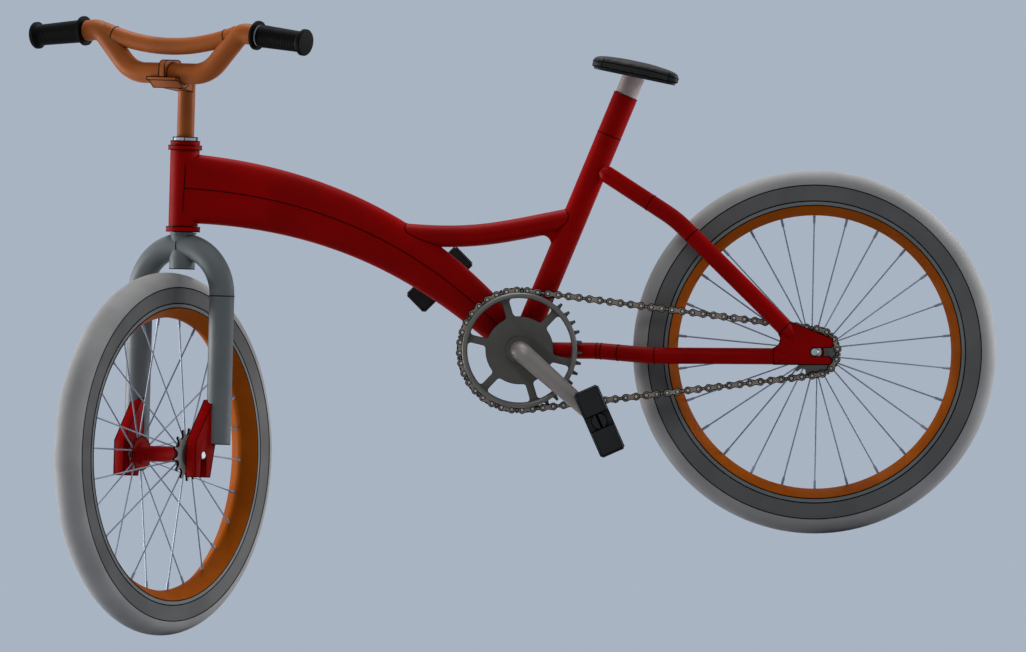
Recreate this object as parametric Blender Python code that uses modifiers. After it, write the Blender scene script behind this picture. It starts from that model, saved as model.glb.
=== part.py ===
"""A child's bicycle with 18-inch wheels, a curved oval main tube and a left-hand chain drive.

Metres, +Z up. The bicycle faces -X and its left side faces -Y. The origin is on the floor, in the
frame's centre plane, straight below the crank axle. The bars and the front wheel are turned left.

A point on the frame is given as (x, left, z), where left is the distance from the centre plane
towards the left side. A wheel, crank or sprocket has its own empty, in which x is rearwards, y is
up and z is left along the axle. The fork and the bars share an empty on the steering axis, in
which x is rearwards of the front wheel's plane, y is right and z is up the axis.
"""

from math import asin, atan2, ceil, cos, pi, radians, sin, sqrt, tan

import bmesh
import bpy
from mathutils import Matrix, Vector

# Fits
GAP = 0.0003
RUNNING_GAP = 0.0004

# Chain and teeth
CHAIN_PITCH = 0.0127
CHAIN_LINKS = 82
CHAIN_ROLLER_RADIUS = 0.00385
CHAIN_INNER_WIDTH = 0.0046
CHAIN_PLATE = 0.0013
CHAIN_PLATE_HEIGHT = 0.0086
CHAIN_PLATE_WAIST = 0.0060
RING_TEETH = 36
SPROCKET_TEETH = 14
TOOTH_TIP_WIDTH = 0.0024
TOOTH_HEIGHT = 0.0040
TOOTH_SIDE_GAP = 0.0009
RING_TO_BRACKET = 0.0021

# Chainring and its guard
RING_ARMS = 6
RING_ARM_WIDTH = 0.0095
RING_ARM_PHASE = radians(28)
RING_DISC_RADIUS = 0.0415
RING_RIM = 0.0051
RING_CORNER = 0.0045
GUARD_CHAIN_GAP = 0.0005
GUARD_FOOT_WIDTH = 0.0042
GUARD_EDGE_RADIUS = 0.0033

# One-piece crank
CRANK_LENGTH = 0.130
CRANK_ANGLE = radians(-50.4)
CRANK_AXLE_RADIUS = 0.0114
CRANK_CONE = 0.0030
CRANK_COLLAR = 0.0051
CRANK_COLLAR_THICKNESS = 0.0040
CRANK_SHOULDER = 0.0008
CRANK_TIP_RADIUS = 0.0092
CRANK_BEND_RADIUS = 0.0145
CRANK_SPLAY = 0.012
CRANK_EYE_WALL = 0.00615
CRANK_EYE_THICKNESS = 0.014
CRANK_NUT_WALL = 0.0026
CRANK_NUT_THICKNESS = 0.006
DRIVE_PIN_RADIUS = 0.0040
DRIVE_PIN_SPACE = 0.0055

# Pedals
PEDAL_LENGTH = 0.0844
PEDAL_THICKNESS = 0.0314
PEDAL_WIDTH = 0.080
PEDAL_BARREL_RADIUS = 0.0098
PEDAL_WAIST = 0.0190
PEDAL_RECESS = 0.0060
PEDAL_EDGE = 0.0020
PEDAL_END_WALL = 0.0090
PEDAL_SPINDLE_RADIUS = 0.00635
PEDAL_SHOULDER = 0.0040
PEDAL_SHOULDER_STEP = 0.0020
PEDAL_ANGLE_LEFT = radians(-75.0)
PEDAL_ANGLE_RIGHT = radians(35.8)

# Bottom bracket
BRACKET_RISE = 0.05665
BRACKET_WALL = 0.0028
BRACKET_HALF_WIDTH = 0.032
CUP_LIP = 0.0015
CUP_LIP_STEP = 0.0016
CUP_DEPTH = 0.0085
CUP_WALL = 0.0050
BRACKET_BALL_SPACE = 0.0060

# Wheels
RIM_RADIUS = 0.1838
RIM_SIDE = 0.0068
RIM_DEPTH = 0.0175
RIM_BED_HALF_WIDTH = 0.0030
RIM_WALL = 0.0024
RIM_WELL_DEPTH = 0.0093
RIM_WELL_HALF_WIDTH = 0.0080
TYRE_WIDTH = 0.0375
TYRE_SIDEWALL = 0.0195
TYRE_WALL = 0.0030
TUBE_SLACK = 0.0005
WHEEL_SEGMENTS = 32
SPOKES = 26
SPOKE_RADIUS = 0.0010
SPOKE_PHASE = radians(81.3)
SPOKE_LEAN = radians(10)
SPOKE_EDGE = 0.0022
SPOKE_HEAD_OFFSET = 0.0012

# Hubs
AXLE_RADIUS = 0.0050
AXLE_CONE = 0.0009
AXLE_SPACER_GAP = 0.0008
HUB_BORE_GAP = 0.0010
HUB_BALL_SPACE = 0.0034
HUB_SEAT_DEPTH = 0.0060
HUB_BALL_HALF_WIDTH = 0.0016
HUB_BARREL_WALL = 0.0036
HUB_BOSS_WALL = 0.0022
HUB_BOSS_END = 0.0025
HUB_CUP_WALL = 0.0032
HUB_FLANGE = 0.0026
HUB_FLANGE_HEIGHT = 0.0080
HUB_FLANGE_TO_SPROCKET = 0.0017
HUB_FLARE = 0.0021
HUB_SEGMENTS = 12

# Rear end of the frame, measured from the axle along the slot and across it
REAR_DROPOUT_INNER = 0.055
REAR_DROPOUT = 0.008
REAR_SLOT_LENGTH = 0.0205
DROPOUT_TAIL = (0.0225, 0.0163)
DROPOUT_FRONT = 0.0500
DROPOUT_THROAT = 0.0050
DROPOUT_CHAMFER = 0.0020
SEAT_STAY_END = (-0.0364, 0.0292)
SEAT_STAY_TOP = 0.2431
SEAT_STAY_KNEE = 0.042
SEAT_STAY_BOW = 0.0152
SEAT_STAY_TYRE_GAP = 0.0098
SEAT_STAY_BENDS = (0.120, 0.050)
STAY_RADIUS = 0.01045
STAY_INSET = 0.013
STAY_SETBACK = 0.008
CHAINSTAY_RADIUS = 0.0100
CHAINSTAY_INSET = 0.022
CHAINSTAY_DROP = 0.0055
CHAINSTAY_KNEE = 0.030
CHAINSTAY_TYRE_GAP = 0.01125
CHAINSTAY_BENDS = (0.080, 0.080, 0.060)

# Frame tubes
SEAT_ANGLE = radians(58.6)
SEAT_TUBE_WALL = 0.0011
SEAT_TUBE_LENGTH = 0.283
SEAT_SLEEVE_LENGTH = 0.053
MAIN_TUBE_HALF_WIDTH = 0.0180
MAIN_TUBE_HEAD_MARGIN = 0.0040
MAIN_TUBE_BRACKET_HALF = 0.0200
MAIN_TUBE_BRACKET_RISE = 0.0063
MAIN_TUBE_HEAD_WAY = radians(-12)
MAIN_TUBE_BRACKET_WAY = radians(-52)
STRUT_RADIUS = 0.0132
STRUT_HEIGHT = 0.1743
STRUT_FRONT_WAY = radians(-14)
STRUT_REAR_WAY = radians(2)
GUSSET_RADIUS = 0.0105
GUSSET_WIDTH = 0.0130

# Head tube and headset
HEAD_ANGLE = radians(79.72)
HEAD_TUBE_X = -0.382
HEAD_TUBE_LENGTH = 0.093
HEAD_TUBE_WALL = 0.0024
HEAD_BALL_SPACE = 0.0018
UPPER_CUP_STEP = 0.0027
UPPER_CUP = 0.0058
ADJUSTING_RACE_WALL = 0.0054
ADJUSTING_RACE = 0.0054
LOCKNUT_WALL = 0.0016
LOCKNUT = 0.0044
LOWER_CUP_STEP = 0.0029
LOWER_CUP = 0.0066
CROWN_RACE = 0.0024
CROWN_RACE_STEP = 0.0012
CUP_SPIGOT = 0.0080

# Fork
STEER_ANGLE = radians(55.9)
STEERER_WALL = 0.0017
CROWN_SLEEVE_WALL = 0.0029
CROWN_TYRE_GAP = 0.0037
FORK_TUBE_RADIUS = 0.0152
FORK_TYRE_GAP = 0.05563
FORK_ARCH_RISE = 0.0235
FORK_RAKE = 0.0304
FORK_LEG_END = 0.0136
FORK_BLOCK = 0.0140
FORK_BLOCK_GAP = 0.0050
BLOCK_FRONT = 0.0174
BLOCK_NOSE = 0.0158
BLOCK_BOTTOM = 0.0268
BLOCK_TOP = 0.0670
BLOCK_SHOULDER = 0.0118
BLOCK_REAR = 0.0067
BLOCK_HEEL = 0.0088
BLOCK_TOP_WIDTH = 0.0057
BLOCK_TOP_CHAMFER = 0.0049

# Stem
QUILL_RADIUS = 0.0106
QUILL_GAP = 0.0004
QUILL_BOLT_RADIUS = 0.0038
QUILL_BOLT_HEAD = 0.0066
QUILL_BOLT_HEAD_HEIGHT = 0.0050
QUILL_WEDGE = 0.020
QUILL_WEDGE_FOOT = 0.006
STEM_INSERTED = 0.0906
STEM_EXPOSED = 0.0774
STEM_REACH = 0.0370
STEM_HALF_WIDTH = 0.0105
STEM_HEAD_LENGTH = 0.043
STEM_HEAD_DROP = 0.0047
STEM_FLANGE = 0.0190
STEM_FLANGE_THICKNESS = 0.0044
STEM_TROUGH = 0.0140
STEM_TROUGH_FOOT = 0.0040
STEM_TROUGH_WALL = 0.0043
STEM_ROOT_DROP = 0.0041
STRAP_WIDTH = 0.0080
STRAP_TOP_WALL = 0.0027
STRAP_CORNER = 0.0080

# Handlebar, as distances from the steering axis and heights up it
BAR_RADIUS = 0.01285
BAR_RISE = 0.0514
BAR_ELBOW_LOW = 0.056
BAR_ELBOW_HIGH = 0.1025
BAR_NECK = 0.021
BAR_DROOP = 0.0097
BAR_LOW_BEND = 0.045
BAR_HIGH_BEND = 0.022
BAR_GRIP_RADIUS = 0.0095
BAR_GRIP_TAPER = 0.0010
BAR_END_SPACE = 0.0020
CROSSBAR_RADIUS = 0.01035
CROSSBAR_INSET = 0.0145
CROSSBAR_DROP = 0.0045
CROSSBAR_SAG = 0.0140
GRIP_LENGTH = 0.0760
GRIP_RADIUS = 0.0128
GRIP_SWELL = 0.0011
GRIP_FLANGE_RADIUS = 0.0180
GRIP_FLANGE = 0.0045
GRIP_END_RADIUS = 0.0164
GRIP_END = 0.0060
GRIP_END_WALL = 0.0015
GRIP_NECK_WALL = 0.0012
GRIP_RING_RADIUS = 0.0133
GRIP_RING = 0.0016

# Seat post and saddle
POST_RADIUS = 0.0136
POST_WALL = 0.0018
POST_EXPOSED = 0.0245
POST_INSERTED = 0.150
SADDLE_TILT = radians(20.6)
SADDLE_FRONT = 0.0525
SADDLE_REAR = 0.0545
SADDLE_FRONT_WIDTH = 0.092
SADDLE_REAR_WIDTH = 0.138
SADDLE_CORNER = 0.0150
SADDLE_LEAST_CORNER = 0.0040
SADDLE_BASE = 0.0030
SADDLE_BASE_INSET = 0.0035
SADDLE_HEIGHT = 0.0193
SADDLE_FRONT_DROP = 0.0030
SADDLE_REAR_DROP = 0.0070
SADDLE_SPIGOT = 0.022

# The pad's side from its foot to its crown: how far it is drawn in, and the share of its height
SADDLE_SIDE = (
    (0.0030, 0), (0.0004, 0.18), (0, 0.40), (0.0008, 0.68), (0.0050, 0.90), (0.0150, 0.975), (0.034, 1),
)

# Finishes: sRGB colour, roughness, metallic
RED_ENAMEL = ("red_enamel", (0.62, 0.02, 0.02), 0.35, 0.0)
COPPER_ENAMEL = ("copper_enamel", (0.60, 0.29, 0.12), 0.38, 0.2)
GREY_ENAMEL = ("grey_enamel", (0.42, 0.46, 0.46), 0.45, 0.1)
ORANGE_ENAMEL = ("orange_enamel", (0.78, 0.42, 0.08), 0.40, 0.0)
PINK_ALLOY = ("brushed_post", (0.70, 0.62, 0.62), 0.40, 0.6)
BRIGHT_STEEL = ("bright_steel", (0.72, 0.72, 0.72), 0.30, 1.0)
DARK_STEEL = ("dark_steel", (0.27, 0.27, 0.25), 0.45, 0.8)
FORGED_STEEL = ("forged_steel", (0.56, 0.54, 0.51), 0.42, 0.9)
CHAIN_STEEL = ("chain_steel", (0.44, 0.40, 0.34), 0.45, 0.9)
TYRE_RUBBER = ("tyre_rubber", (0.50, 0.50, 0.50), 0.80, 0.0)
BUTYL_RUBBER = ("butyl_rubber", (0.08, 0.08, 0.08), 0.70, 0.0)
BLACK_RUBBER = ("black_rubber", (0.05, 0.05, 0.05), 0.70, 0.0)
BLACK_PLASTIC = ("black_plastic", (0.07, 0.07, 0.07), 0.50, 0.0)
SADDLE_VINYL = ("saddle_vinyl", (0.16, 0.165, 0.165), 0.55, 0.0)


def bore_for(shaft_radius, segments, gap=RUNNING_GAP):
    """Radius of a faceted hole whose flats stay this far from a round shaft."""
    return (shaft_radius + gap) / cos(pi / segments)


# Drive: the ring stands clear of the bracket's cup, the guard clear of the chain
TYRE_RADIUS = RIM_RADIUS + TYRE_SIDEWALL + TYRE_WIDTH / 2
RIM_BED_RADIUS = RIM_RADIUS - RIM_DEPTH
RING_PITCH_RADIUS = RING_TEETH * CHAIN_PITCH / (2 * pi)
SPROCKET_PITCH_RADIUS = SPROCKET_TEETH * CHAIN_PITCH / (2 * pi)
TOOTH_THICKNESS = CHAIN_INNER_WIDTH - 2 * TOOTH_SIDE_GAP
CHAINLINE = BRACKET_HALF_WIDTH + CUP_LIP + RING_TO_BRACKET + TOOTH_THICKNESS / 2
RING_FACE = CHAINLINE + TOOTH_THICKNESS / 2
TOOTH_ROOT_DEPTH = CHAIN_ROLLER_RADIUS + GAP
RING_RIM_RADIUS = RING_PITCH_RADIUS - TOOTH_ROOT_DEPTH - RING_RIM
GUARD_FOOT_TOP = CHAINLINE + CHAIN_INNER_WIDTH / 2 + CHAIN_PLATE + GUARD_CHAIN_GAP
GUARD_FOOT_RADIUS = RING_PITCH_RADIUS - CHAIN_PLATE_HEIGHT / 2 - GUARD_CHAIN_GAP
GUARD_INNER_RADIUS = GUARD_FOOT_RADIUS - GUARD_FOOT_WIDTH
GUARD_RADIUS = GUARD_INNER_RADIUS + GUARD_EDGE_RADIUS
GUARD_EDGE_PLACE = GUARD_FOOT_TOP + GUARD_EDGE_RADIUS * 0.7
GUARD_FACE = GUARD_EDGE_PLACE + GUARD_EDGE_RADIUS

# Crank: its arms clear the guard, and its collar, pin, cones and nut follow its axle
CRANK_ROOT_RADIUS = CRANK_AXLE_RADIUS + CRANK_SHOULDER
CRANK_CONE_RADIUS = CRANK_AXLE_RADIUS + CRANK_CONE
CRANK_COLLAR_RADIUS = CRANK_AXLE_RADIUS + CRANK_COLLAR
CRANK_ELBOW = GUARD_FACE + GAP + CRANK_ROOT_RADIUS - CRANK_SPLAY * GUARD_RADIUS / CRANK_LENGTH
CRANK_EYE = CRANK_ELBOW + CRANK_SPLAY
CRANK_EYE_RADIUS = PEDAL_SPINDLE_RADIUS + CRANK_EYE_WALL
DRIVE_PIN_ARM = CRANK_COLLAR_RADIUS + DRIVE_PIN_RADIUS + DRIVE_PIN_SPACE
BRACKET_HEIGHT = TYRE_RADIUS + BRACKET_RISE
BRACKET_CUP_RADIUS = CRANK_CONE_RADIUS + BRACKET_BALL_SPACE + CUP_WALL
BRACKET_RADIUS = BRACKET_CUP_RADIUS + GAP + BRACKET_WALL

# Hubs, from the axle outwards
AXLE_CONE_RADIUS = AXLE_RADIUS + AXLE_CONE
HUB_BORE_RADIUS = AXLE_RADIUS + HUB_BORE_GAP
HUB_SEAT_RADIUS = AXLE_CONE_RADIUS + HUB_BALL_SPACE
HUB_BARREL_RADIUS = HUB_BORE_RADIUS + HUB_BARREL_WALL
HUB_BOSS_RADIUS = HUB_SEAT_RADIUS + HUB_BOSS_WALL
HUB_CUP_RADIUS = HUB_SEAT_RADIUS + HUB_CUP_WALL
HUB_FLANGE_RADIUS = HUB_CUP_RADIUS + HUB_FLANGE_HEIGHT
HUB_FACE = CHAINLINE - TOOTH_THICKNESS / 2 - HUB_FLANGE_TO_SPROCKET
HUB_BOSS_FACE = RING_FACE + HUB_BOSS_END

# Head, fork and bars, from the quill outwards and from the tyre upwards
STEERER_BORE = QUILL_RADIUS + QUILL_GAP
STEERER_RADIUS = STEERER_BORE + STEERER_WALL
STEERER_SLEEVE_RADIUS = STEERER_RADIUS + CROWN_SLEEVE_WALL
HEADSET_BORE = bore_for(STEERER_RADIUS, 16)
HEADSET_SPIGOT_RADIUS = HEADSET_BORE + HEAD_BALL_SPACE
HEAD_TUBE_RADIUS = HEADSET_SPIGOT_RADIUS + GAP + HEAD_TUBE_WALL
HEAD_TILT = pi / 2 - HEAD_ANGLE
LOCKNUT_FOOT = HEAD_TUBE_LENGTH + UPPER_CUP + ADJUSTING_RACE
LOCKNUT_TOP = LOCKNUT_FOOT + LOCKNUT
FORK_LENGTH = TYRE_RADIUS + FORK_TYRE_GAP
FORK_BLOCK_INNER = HUB_BOSS_FACE + FORK_BLOCK_GAP
FORK_HALF_SPAN = FORK_BLOCK_INNER + FORK_BLOCK
FORK_ARCH_CENTRE = FORK_HALF_SPAN + FORK_ARCH_RISE
CROWN_SLEEVE_END = FORK_TYRE_GAP - CROWN_TYRE_GAP
BAR_HEIGHT = LOCKNUT_TOP + STEM_EXPOSED
QUILL_FOOT = LOCKNUT_TOP - STEM_INSERTED
BAR_SEAT_RADIUS = bore_for(BAR_RADIUS, 16, GAP)
GRIP_START = BAR_ELBOW_HIGH + BAR_NECK
BAR_HALF_SPAN = GRIP_START + GRIP_LENGTH - BAR_END_SPACE

# Seat tube and rear end
SEAT_TUBE_BORE = POST_RADIUS + GAP
SEAT_TUBE_RADIUS = SEAT_TUBE_BORE + SEAT_TUBE_WALL
POST_BORE = POST_RADIUS - POST_WALL
STAY_LEFT = REAR_DROPOUT_INNER + REAR_DROPOUT / 2
MAIN_TUBE_HEAD_HALF = HEAD_TUBE_LENGTH / 2 - MAIN_TUBE_HEAD_MARGIN


def chain_route(centres):
    """The chain's lean to the line of centres, its straight run and its arcs, for this distance."""
    step = RING_PITCH_RADIUS - SPROCKET_PITCH_RADIUS
    lean = asin(step / centres)
    run = sqrt(centres**2 - step**2)
    return lean, run, RING_PITCH_RADIUS * (pi + 2 * lean), SPROCKET_PITCH_RADIUS * (pi - 2 * lean)


def centre_distance():
    """The distance between the sprockets' centres at which the chain is taut, found by halving."""
    low = RING_PITCH_RADIUS + SPROCKET_PITCH_RADIUS
    high = CHAIN_LINKS * CHAIN_PITCH
    for _ in range(60):
        middle = (low + high) / 2
        _, run, ring_arc, sprocket_arc = chain_route(middle)
        if 2 * run + ring_arc + sprocket_arc < CHAIN_LINKS * CHAIN_PITCH:
            low = middle
        else:
            high = middle
    return low


def head_tube_height():
    """Height of the head tube's foot, for a turned front wheel that meets the floor."""
    axle_rise = -sin(HEAD_TILT) * sin(STEER_ANGLE)
    wheel_drop = (RIM_RADIUS + TYRE_SIDEWALL) * sqrt(1 - axle_rise**2) + TYRE_WIDTH / 2
    rake_rise = FORK_RAKE * sin(HEAD_TILT) * cos(STEER_ANGLE)
    return FORK_LENGTH * cos(HEAD_TILT) + wheel_drop - rake_rise


CENTRES = centre_distance()
BRACKET = Vector((0, 0, BRACKET_HEIGHT))
REAR_SLOPE = -asin(BRACKET_RISE / CENTRES)
REAR_AXLE = BRACKET + Vector((cos(REAR_SLOPE), 0, sin(REAR_SLOPE))) * CENTRES
SEAT_AXIS = Vector((cos(SEAT_ANGLE), 0, sin(SEAT_ANGLE)))
SEAT_ACROSS = Vector((SEAT_AXIS.z, 0, -SEAT_AXIS.x))
HEAD_FOOT = Vector((HEAD_TUBE_X, 0, head_tube_height()))
HEAD_AXIS = Vector((cos(HEAD_ANGLE), 0, sin(HEAD_ANGLE)))
SIDEWAYS = Matrix.Rotation(pi / 2, 4, "X")


def clear_scene():
    for old in list(bpy.data.objects):
        bpy.data.objects.remove(old, do_unlink=True)


def new_collection(name):
    made = bpy.data.collections.new(name)
    bpy.context.scene.collection.children.link(made)
    return made


def linear(value):
    """An sRGB channel as Blender's linear value."""
    return value / 12.92 if value <= 0.04045 else ((value + 0.055) / 1.055) ** 2.4


def finish(look):
    name, colour, roughness, metallic = look
    made = bpy.data.materials.get(name)
    if made:
        return made
    made = bpy.data.materials.new(name)
    made.use_nodes = True
    shader = made.node_tree.nodes["Principled BSDF"]
    rgba = [linear(channel) for channel in colour] + [1]
    shader.inputs["Base Color"].default_value = rgba
    shader.inputs["Roughness"].default_value = roughness
    shader.inputs["Metallic"].default_value = metallic
    made.diffuse_color = rgba
    return made


def axis_empty(name, place, parent=None):
    made = bpy.data.objects.new(name, None)
    made.empty_display_size = 0.03
    PARTS.objects.link(made)
    made.parent = parent
    made.matrix_local = place
    return made


def add(name, data, look, parent, place=None):
    """A named sub-part with its finish. With no look it is a cutter or another helper."""
    made = bpy.data.objects.new(name, data)
    made.parent = parent
    if place is not None:
        made.matrix_local = place
    if look is None:
        HELPERS.objects.link(made)
        made.hide_render = True
        made.display_type = "WIRE"
    else:
        PARTS.objects.link(made)
        data.materials.append(finish(look))
    return made


def boolean(piece, operation, other):
    step = piece.modifiers.new(operation.lower(), "BOOLEAN")
    step.operation = operation
    step.solver = "EXACT"
    step.object = other
    return piece


def cut(piece, *cutters):
    for cutter in cutters:
        boolean(piece, "DIFFERENCE", cutter)
    return piece


def join(piece, *others):
    for other in others:
        boolean(piece, "UNION", other)
    return piece


def mesh_from(shape):
    mesh = bpy.data.meshes.new("mesh")
    shape.to_mesh(mesh)
    shape.free()
    return mesh


def smooth_by_angle(mesh, limit=radians(35)):
    mesh.shade_smooth()
    mesh.set_sharp_from_angle(angle=limit)


def solid(piece):
    """The same piece as a mesh, so that it can be cut, joined or used as a cutter."""
    bpy.context.view_layer.update()
    graph = bpy.context.evaluated_depsgraph_get()
    mesh = bpy.data.meshes.new_from_object(piece.evaluated_get(graph))
    shape = bmesh.new()
    shape.from_mesh(mesh)
    bmesh.ops.remove_doubles(shape, verts=shape.verts, dist=0.000001)
    bmesh.ops.recalc_face_normals(shape, faces=shape.faces)
    shape.to_mesh(mesh)
    shape.free()
    smooth_by_angle(mesh)
    name = piece.name
    home = piece.users_collection[0]
    made = bpy.data.objects.new(name + "_mesh", mesh)
    home.objects.link(made)
    made.parent = piece.parent
    made.matrix_world = piece.matrix_world
    made.hide_render = piece.hide_render
    made.display_type = piece.display_type
    bpy.data.objects.remove(piece, do_unlink=True)
    made.name = name
    return made


def signed_area(points):
    total = 0
    for (x0, y0), (x1, y1) in zip(points, points[1:] + points[:1]):
        total += x0 * y1 - x1 * y0
    return total / 2


def turned(name, profile, segments, look, parent, place=None):
    """A ring about local Z from (radius, height) points, or a solid if the profile's ends have radius 0."""
    points = profile if signed_area(profile) < 0 else profile[::-1]
    shape = bmesh.new()
    corners = [shape.verts.new((radius, 0, height)) for radius, height in points]
    for one, other in zip(corners, corners[1:]):
        shape.edges.new((one, other))
    if points[0][0] > 0:
        shape.edges.new((corners[-1], corners[0]))
    made = add(name, mesh_from(shape), look, parent, place)
    screw = made.modifiers.new("turn", "SCREW")
    screw.steps = segments
    screw.render_steps = segments
    screw.use_merge_vertices = True
    screw.merge_threshold = 0.00001
    screw.use_smooth_shade = False
    return solid(made)


def ring(name, inner, outer, low, high, segments, look, parent, place=None):
    profile = [(inner, low), (outer, low), (outer, high), (inner, high)]
    return turned(name, profile, segments, look, parent, place)


def cylinder(name, radius, low, high, segments, look, parent, place=None):
    """A solid round or, with few segments, polygonal bar along local Z."""
    shape = bmesh.new()
    middle = Matrix.Translation((0, 0, (low + high) / 2))
    bmesh.ops.create_cone(
        shape, cap_ends=True, segments=segments, radius1=radius, radius2=radius,
        depth=high - low, matrix=middle,
    )
    mesh = mesh_from(shape)
    smooth_by_angle(mesh)
    return add(name, mesh, look, parent, place)


def hexagon(name, across_flats, low, high, look, parent, place=None):
    return cylinder(name, across_flats / 2 / cos(pi / 6), low, high, 6, look, parent, place)


def box(name, low, high, look, parent, place=None):
    shape = bmesh.new()
    low, high = Vector(low), Vector(high)
    size = Matrix.Diagonal((*(high - low), 1))
    bmesh.ops.create_cube(shape, size=1, matrix=Matrix.Translation((low + high) / 2) @ size)
    return add(name, mesh_from(shape), look, parent, place)


def plate(name, outline, thickness, look, parent, place=None, holes=()):
    """A flat outline in local XY with its holes, centred on local Z."""
    curve = bpy.data.curves.new(name, "CURVE")
    curve.dimensions = "2D"
    curve.fill_mode = "BOTH"
    curve.extrude = thickness / 2
    for loop in [outline, *holes]:
        spline = curve.splines.new("POLY")
        spline.points.add(len(loop) - 1)
        for point, (x, y) in zip(spline.points, loop):
            point.co = (x, y, 0, 1)
        spline.use_cyclic_u = True
    return add(name, curve, look, parent, place)


def tube(name, path, radius, look, parent, place=None, radii=None, rings=2):
    """A round bar along a path. radii gives its radius at each point, rings its fineness."""
    curve = bpy.data.curves.new(name, "CURVE")
    curve.dimensions = "3D"
    curve.fill_mode = "FULL"
    curve.bevel_depth = radius
    curve.bevel_resolution = rings
    curve.use_fill_caps = True
    spline = curve.splines.new("POLY")
    spline.points.add(len(path) - 1)
    for i, (point, corner) in enumerate(zip(spline.points, path)):
        point.co = (*corner, 1)
        point.radius = radii[i] / radius if radii else 1
    return add(name, curve, look, parent, place)


def loft(name, rings_of_points, look, parent, place=None):
    """A closed skin over rings of equally many points, with a flat face on each end."""
    shape = bmesh.new()
    rows = [[shape.verts.new(point) for point in ring_points] for ring_points in rings_of_points]
    count = len(rows[0])
    for low, high in zip(rows, rows[1:]):
        for i in range(count):
            j = (i + 1) % count
            shape.faces.new((low[i], low[j], high[j], high[i]))
    shape.faces.new(rows[0][::-1])
    shape.faces.new(rows[-1])
    bmesh.ops.recalc_face_normals(shape, faces=shape.faces)
    mesh = mesh_from(shape)
    smooth_by_angle(mesh)
    return add(name, mesh, look, parent, place)


def rounded_path(corners, bends, step=radians(15)):
    """Corners joined by straight runs, with an arc of the given radius at each inner corner.

    An arc that would be longer than its two runs is made tighter, so that it ends on them.
    """
    corners = [Vector(corner) for corner in corners]
    path = [corners[0]]
    for before, corner, after, bend in zip(corners, corners[1:], corners[2:], bends):
        back = before - corner
        ahead = after - corner
        room = min(back.length, ahead.length) * 0.49
        back.normalize()
        ahead.normalize()
        turn = pi - back.angle(ahead)
        reach = min(bend * tan(turn / 2), room)
        radius = reach / tan(turn / 2)
        centre = corner + (back + ahead).normalized() * (radius / cos(turn / 2))
        start = corner + back * reach - centre
        pieces = max(2, ceil(turn / step))
        axis = start.cross(corner + ahead * reach - centre)
        for i in range(pieces + 1):
            path.append(centre + Matrix.Rotation(turn * i / pieces, 3, axis) @ start)
    path.append(corners[-1])
    return path


def bezier(start, start_way, start_pull, end, end_way, end_pull, count):
    """Points on one cubic curve in the XZ plane, which leaves and arrives along the two angles."""
    one = start + Vector((cos(start_way), 0, sin(start_way))) * start_pull
    two = end - Vector((cos(end_way), 0, sin(end_way))) * end_pull
    path = []
    for i in range(count):
        t = i / (count - 1)
        near = start * (1 - t) ** 3 + one * 3 * (1 - t) ** 2 * t
        path.append(near + two * 3 * (1 - t) * t**2 + end * t**3)
    return path


def polar(radius, angle, centre=(0, 0)):
    return (centre[0] + radius * cos(angle), centre[1] + radius * sin(angle))


def circle(radius, count, centre=(0, 0), phase=0):
    return [polar(radius, phase + i * 2 * pi / count, centre) for i in range(count)]


def arc(radius, start, end, count, centre=(0, 0)):
    step = (end - start) / (count - 1)
    return [polar(radius, start + i * step, centre) for i in range(count)]


def bowed(start, end, bow, count):
    """Points of the arc from start to end whose middle stands this far to the right of the chord."""
    start, end = Vector(start), Vector(end)
    half = (end - start) / 2
    right = Vector((half.y, -half.x)).normalized()
    radius = (half.length_squared + bow**2) / (2 * bow)
    centre = start + half - right * (radius - bow)
    first = atan2(start.y - centre.y, start.x - centre.x)
    sweep = 2 * atan2(half.length, radius - bow)
    return arc(radius, first, first + sweep, count, centre)


def on_frame(x, left, z):
    return Vector((x, -left, z))


def up_to_seat(distance, back=0.0):
    """A point this far up the seat tube from the bracket, and this far behind its axis."""
    return BRACKET + SEAT_AXIS * distance + SEAT_ACROSS * back


def from_axle(along, across, left=0.0):
    """A point beside the rear axle, rearwards along the dropout's slot and up across it."""
    turn = Matrix.Rotation(REAR_SLOPE, 2)
    spot = turn @ Vector((along, across))
    return REAR_AXLE + on_frame(spot.x, left, spot.y)


def chain_pin(place):
    """Where the chain's centre line is, this many links along it, and its direction there.

    It starts where the upper run leaves the chainring and goes rearwards. The answer is seen from
    the left, with the crank axle at the origin, x rearwards and y up.
    """
    lean, run, _, sprocket_arc = chain_route(CENTRES)
    rear = Vector((cos(REAR_SLOPE), sin(REAR_SLOPE))) * CENTRES
    distance = (place * CHAIN_PITCH) % (CHAIN_LINKS * CHAIN_PITCH)
    way = REAR_SLOPE - lean
    if distance < run:
        upper = Vector(polar(RING_PITCH_RADIUS, way + pi / 2))
        return upper + Vector(polar(distance, way)), way
    distance -= run
    if distance < sprocket_arc:
        angle = way + pi / 2 - distance / SPROCKET_PITCH_RADIUS
        return rear + Vector(polar(SPROCKET_PITCH_RADIUS, angle)), angle - pi / 2
    distance -= sprocket_arc
    way = REAR_SLOPE + lean + pi
    if distance < run:
        lower = rear + Vector(polar(SPROCKET_PITCH_RADIUS, way + pi / 2))
        return lower + Vector(polar(distance, way)), way
    distance -= run
    angle = way + pi / 2 - distance / RING_PITCH_RADIUS
    return Vector(polar(RING_PITCH_RADIUS, angle)), angle - pi / 2


def tooth_phase(centre, distance):
    """The angle of the chain's gap nearest to this distance along it, seen from a sprocket's centre."""
    spot, _ = chain_pin(int(distance / CHAIN_PITCH) + 0.5)
    return atan2(spot.y - centre.y, spot.x - centre.x)


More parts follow.
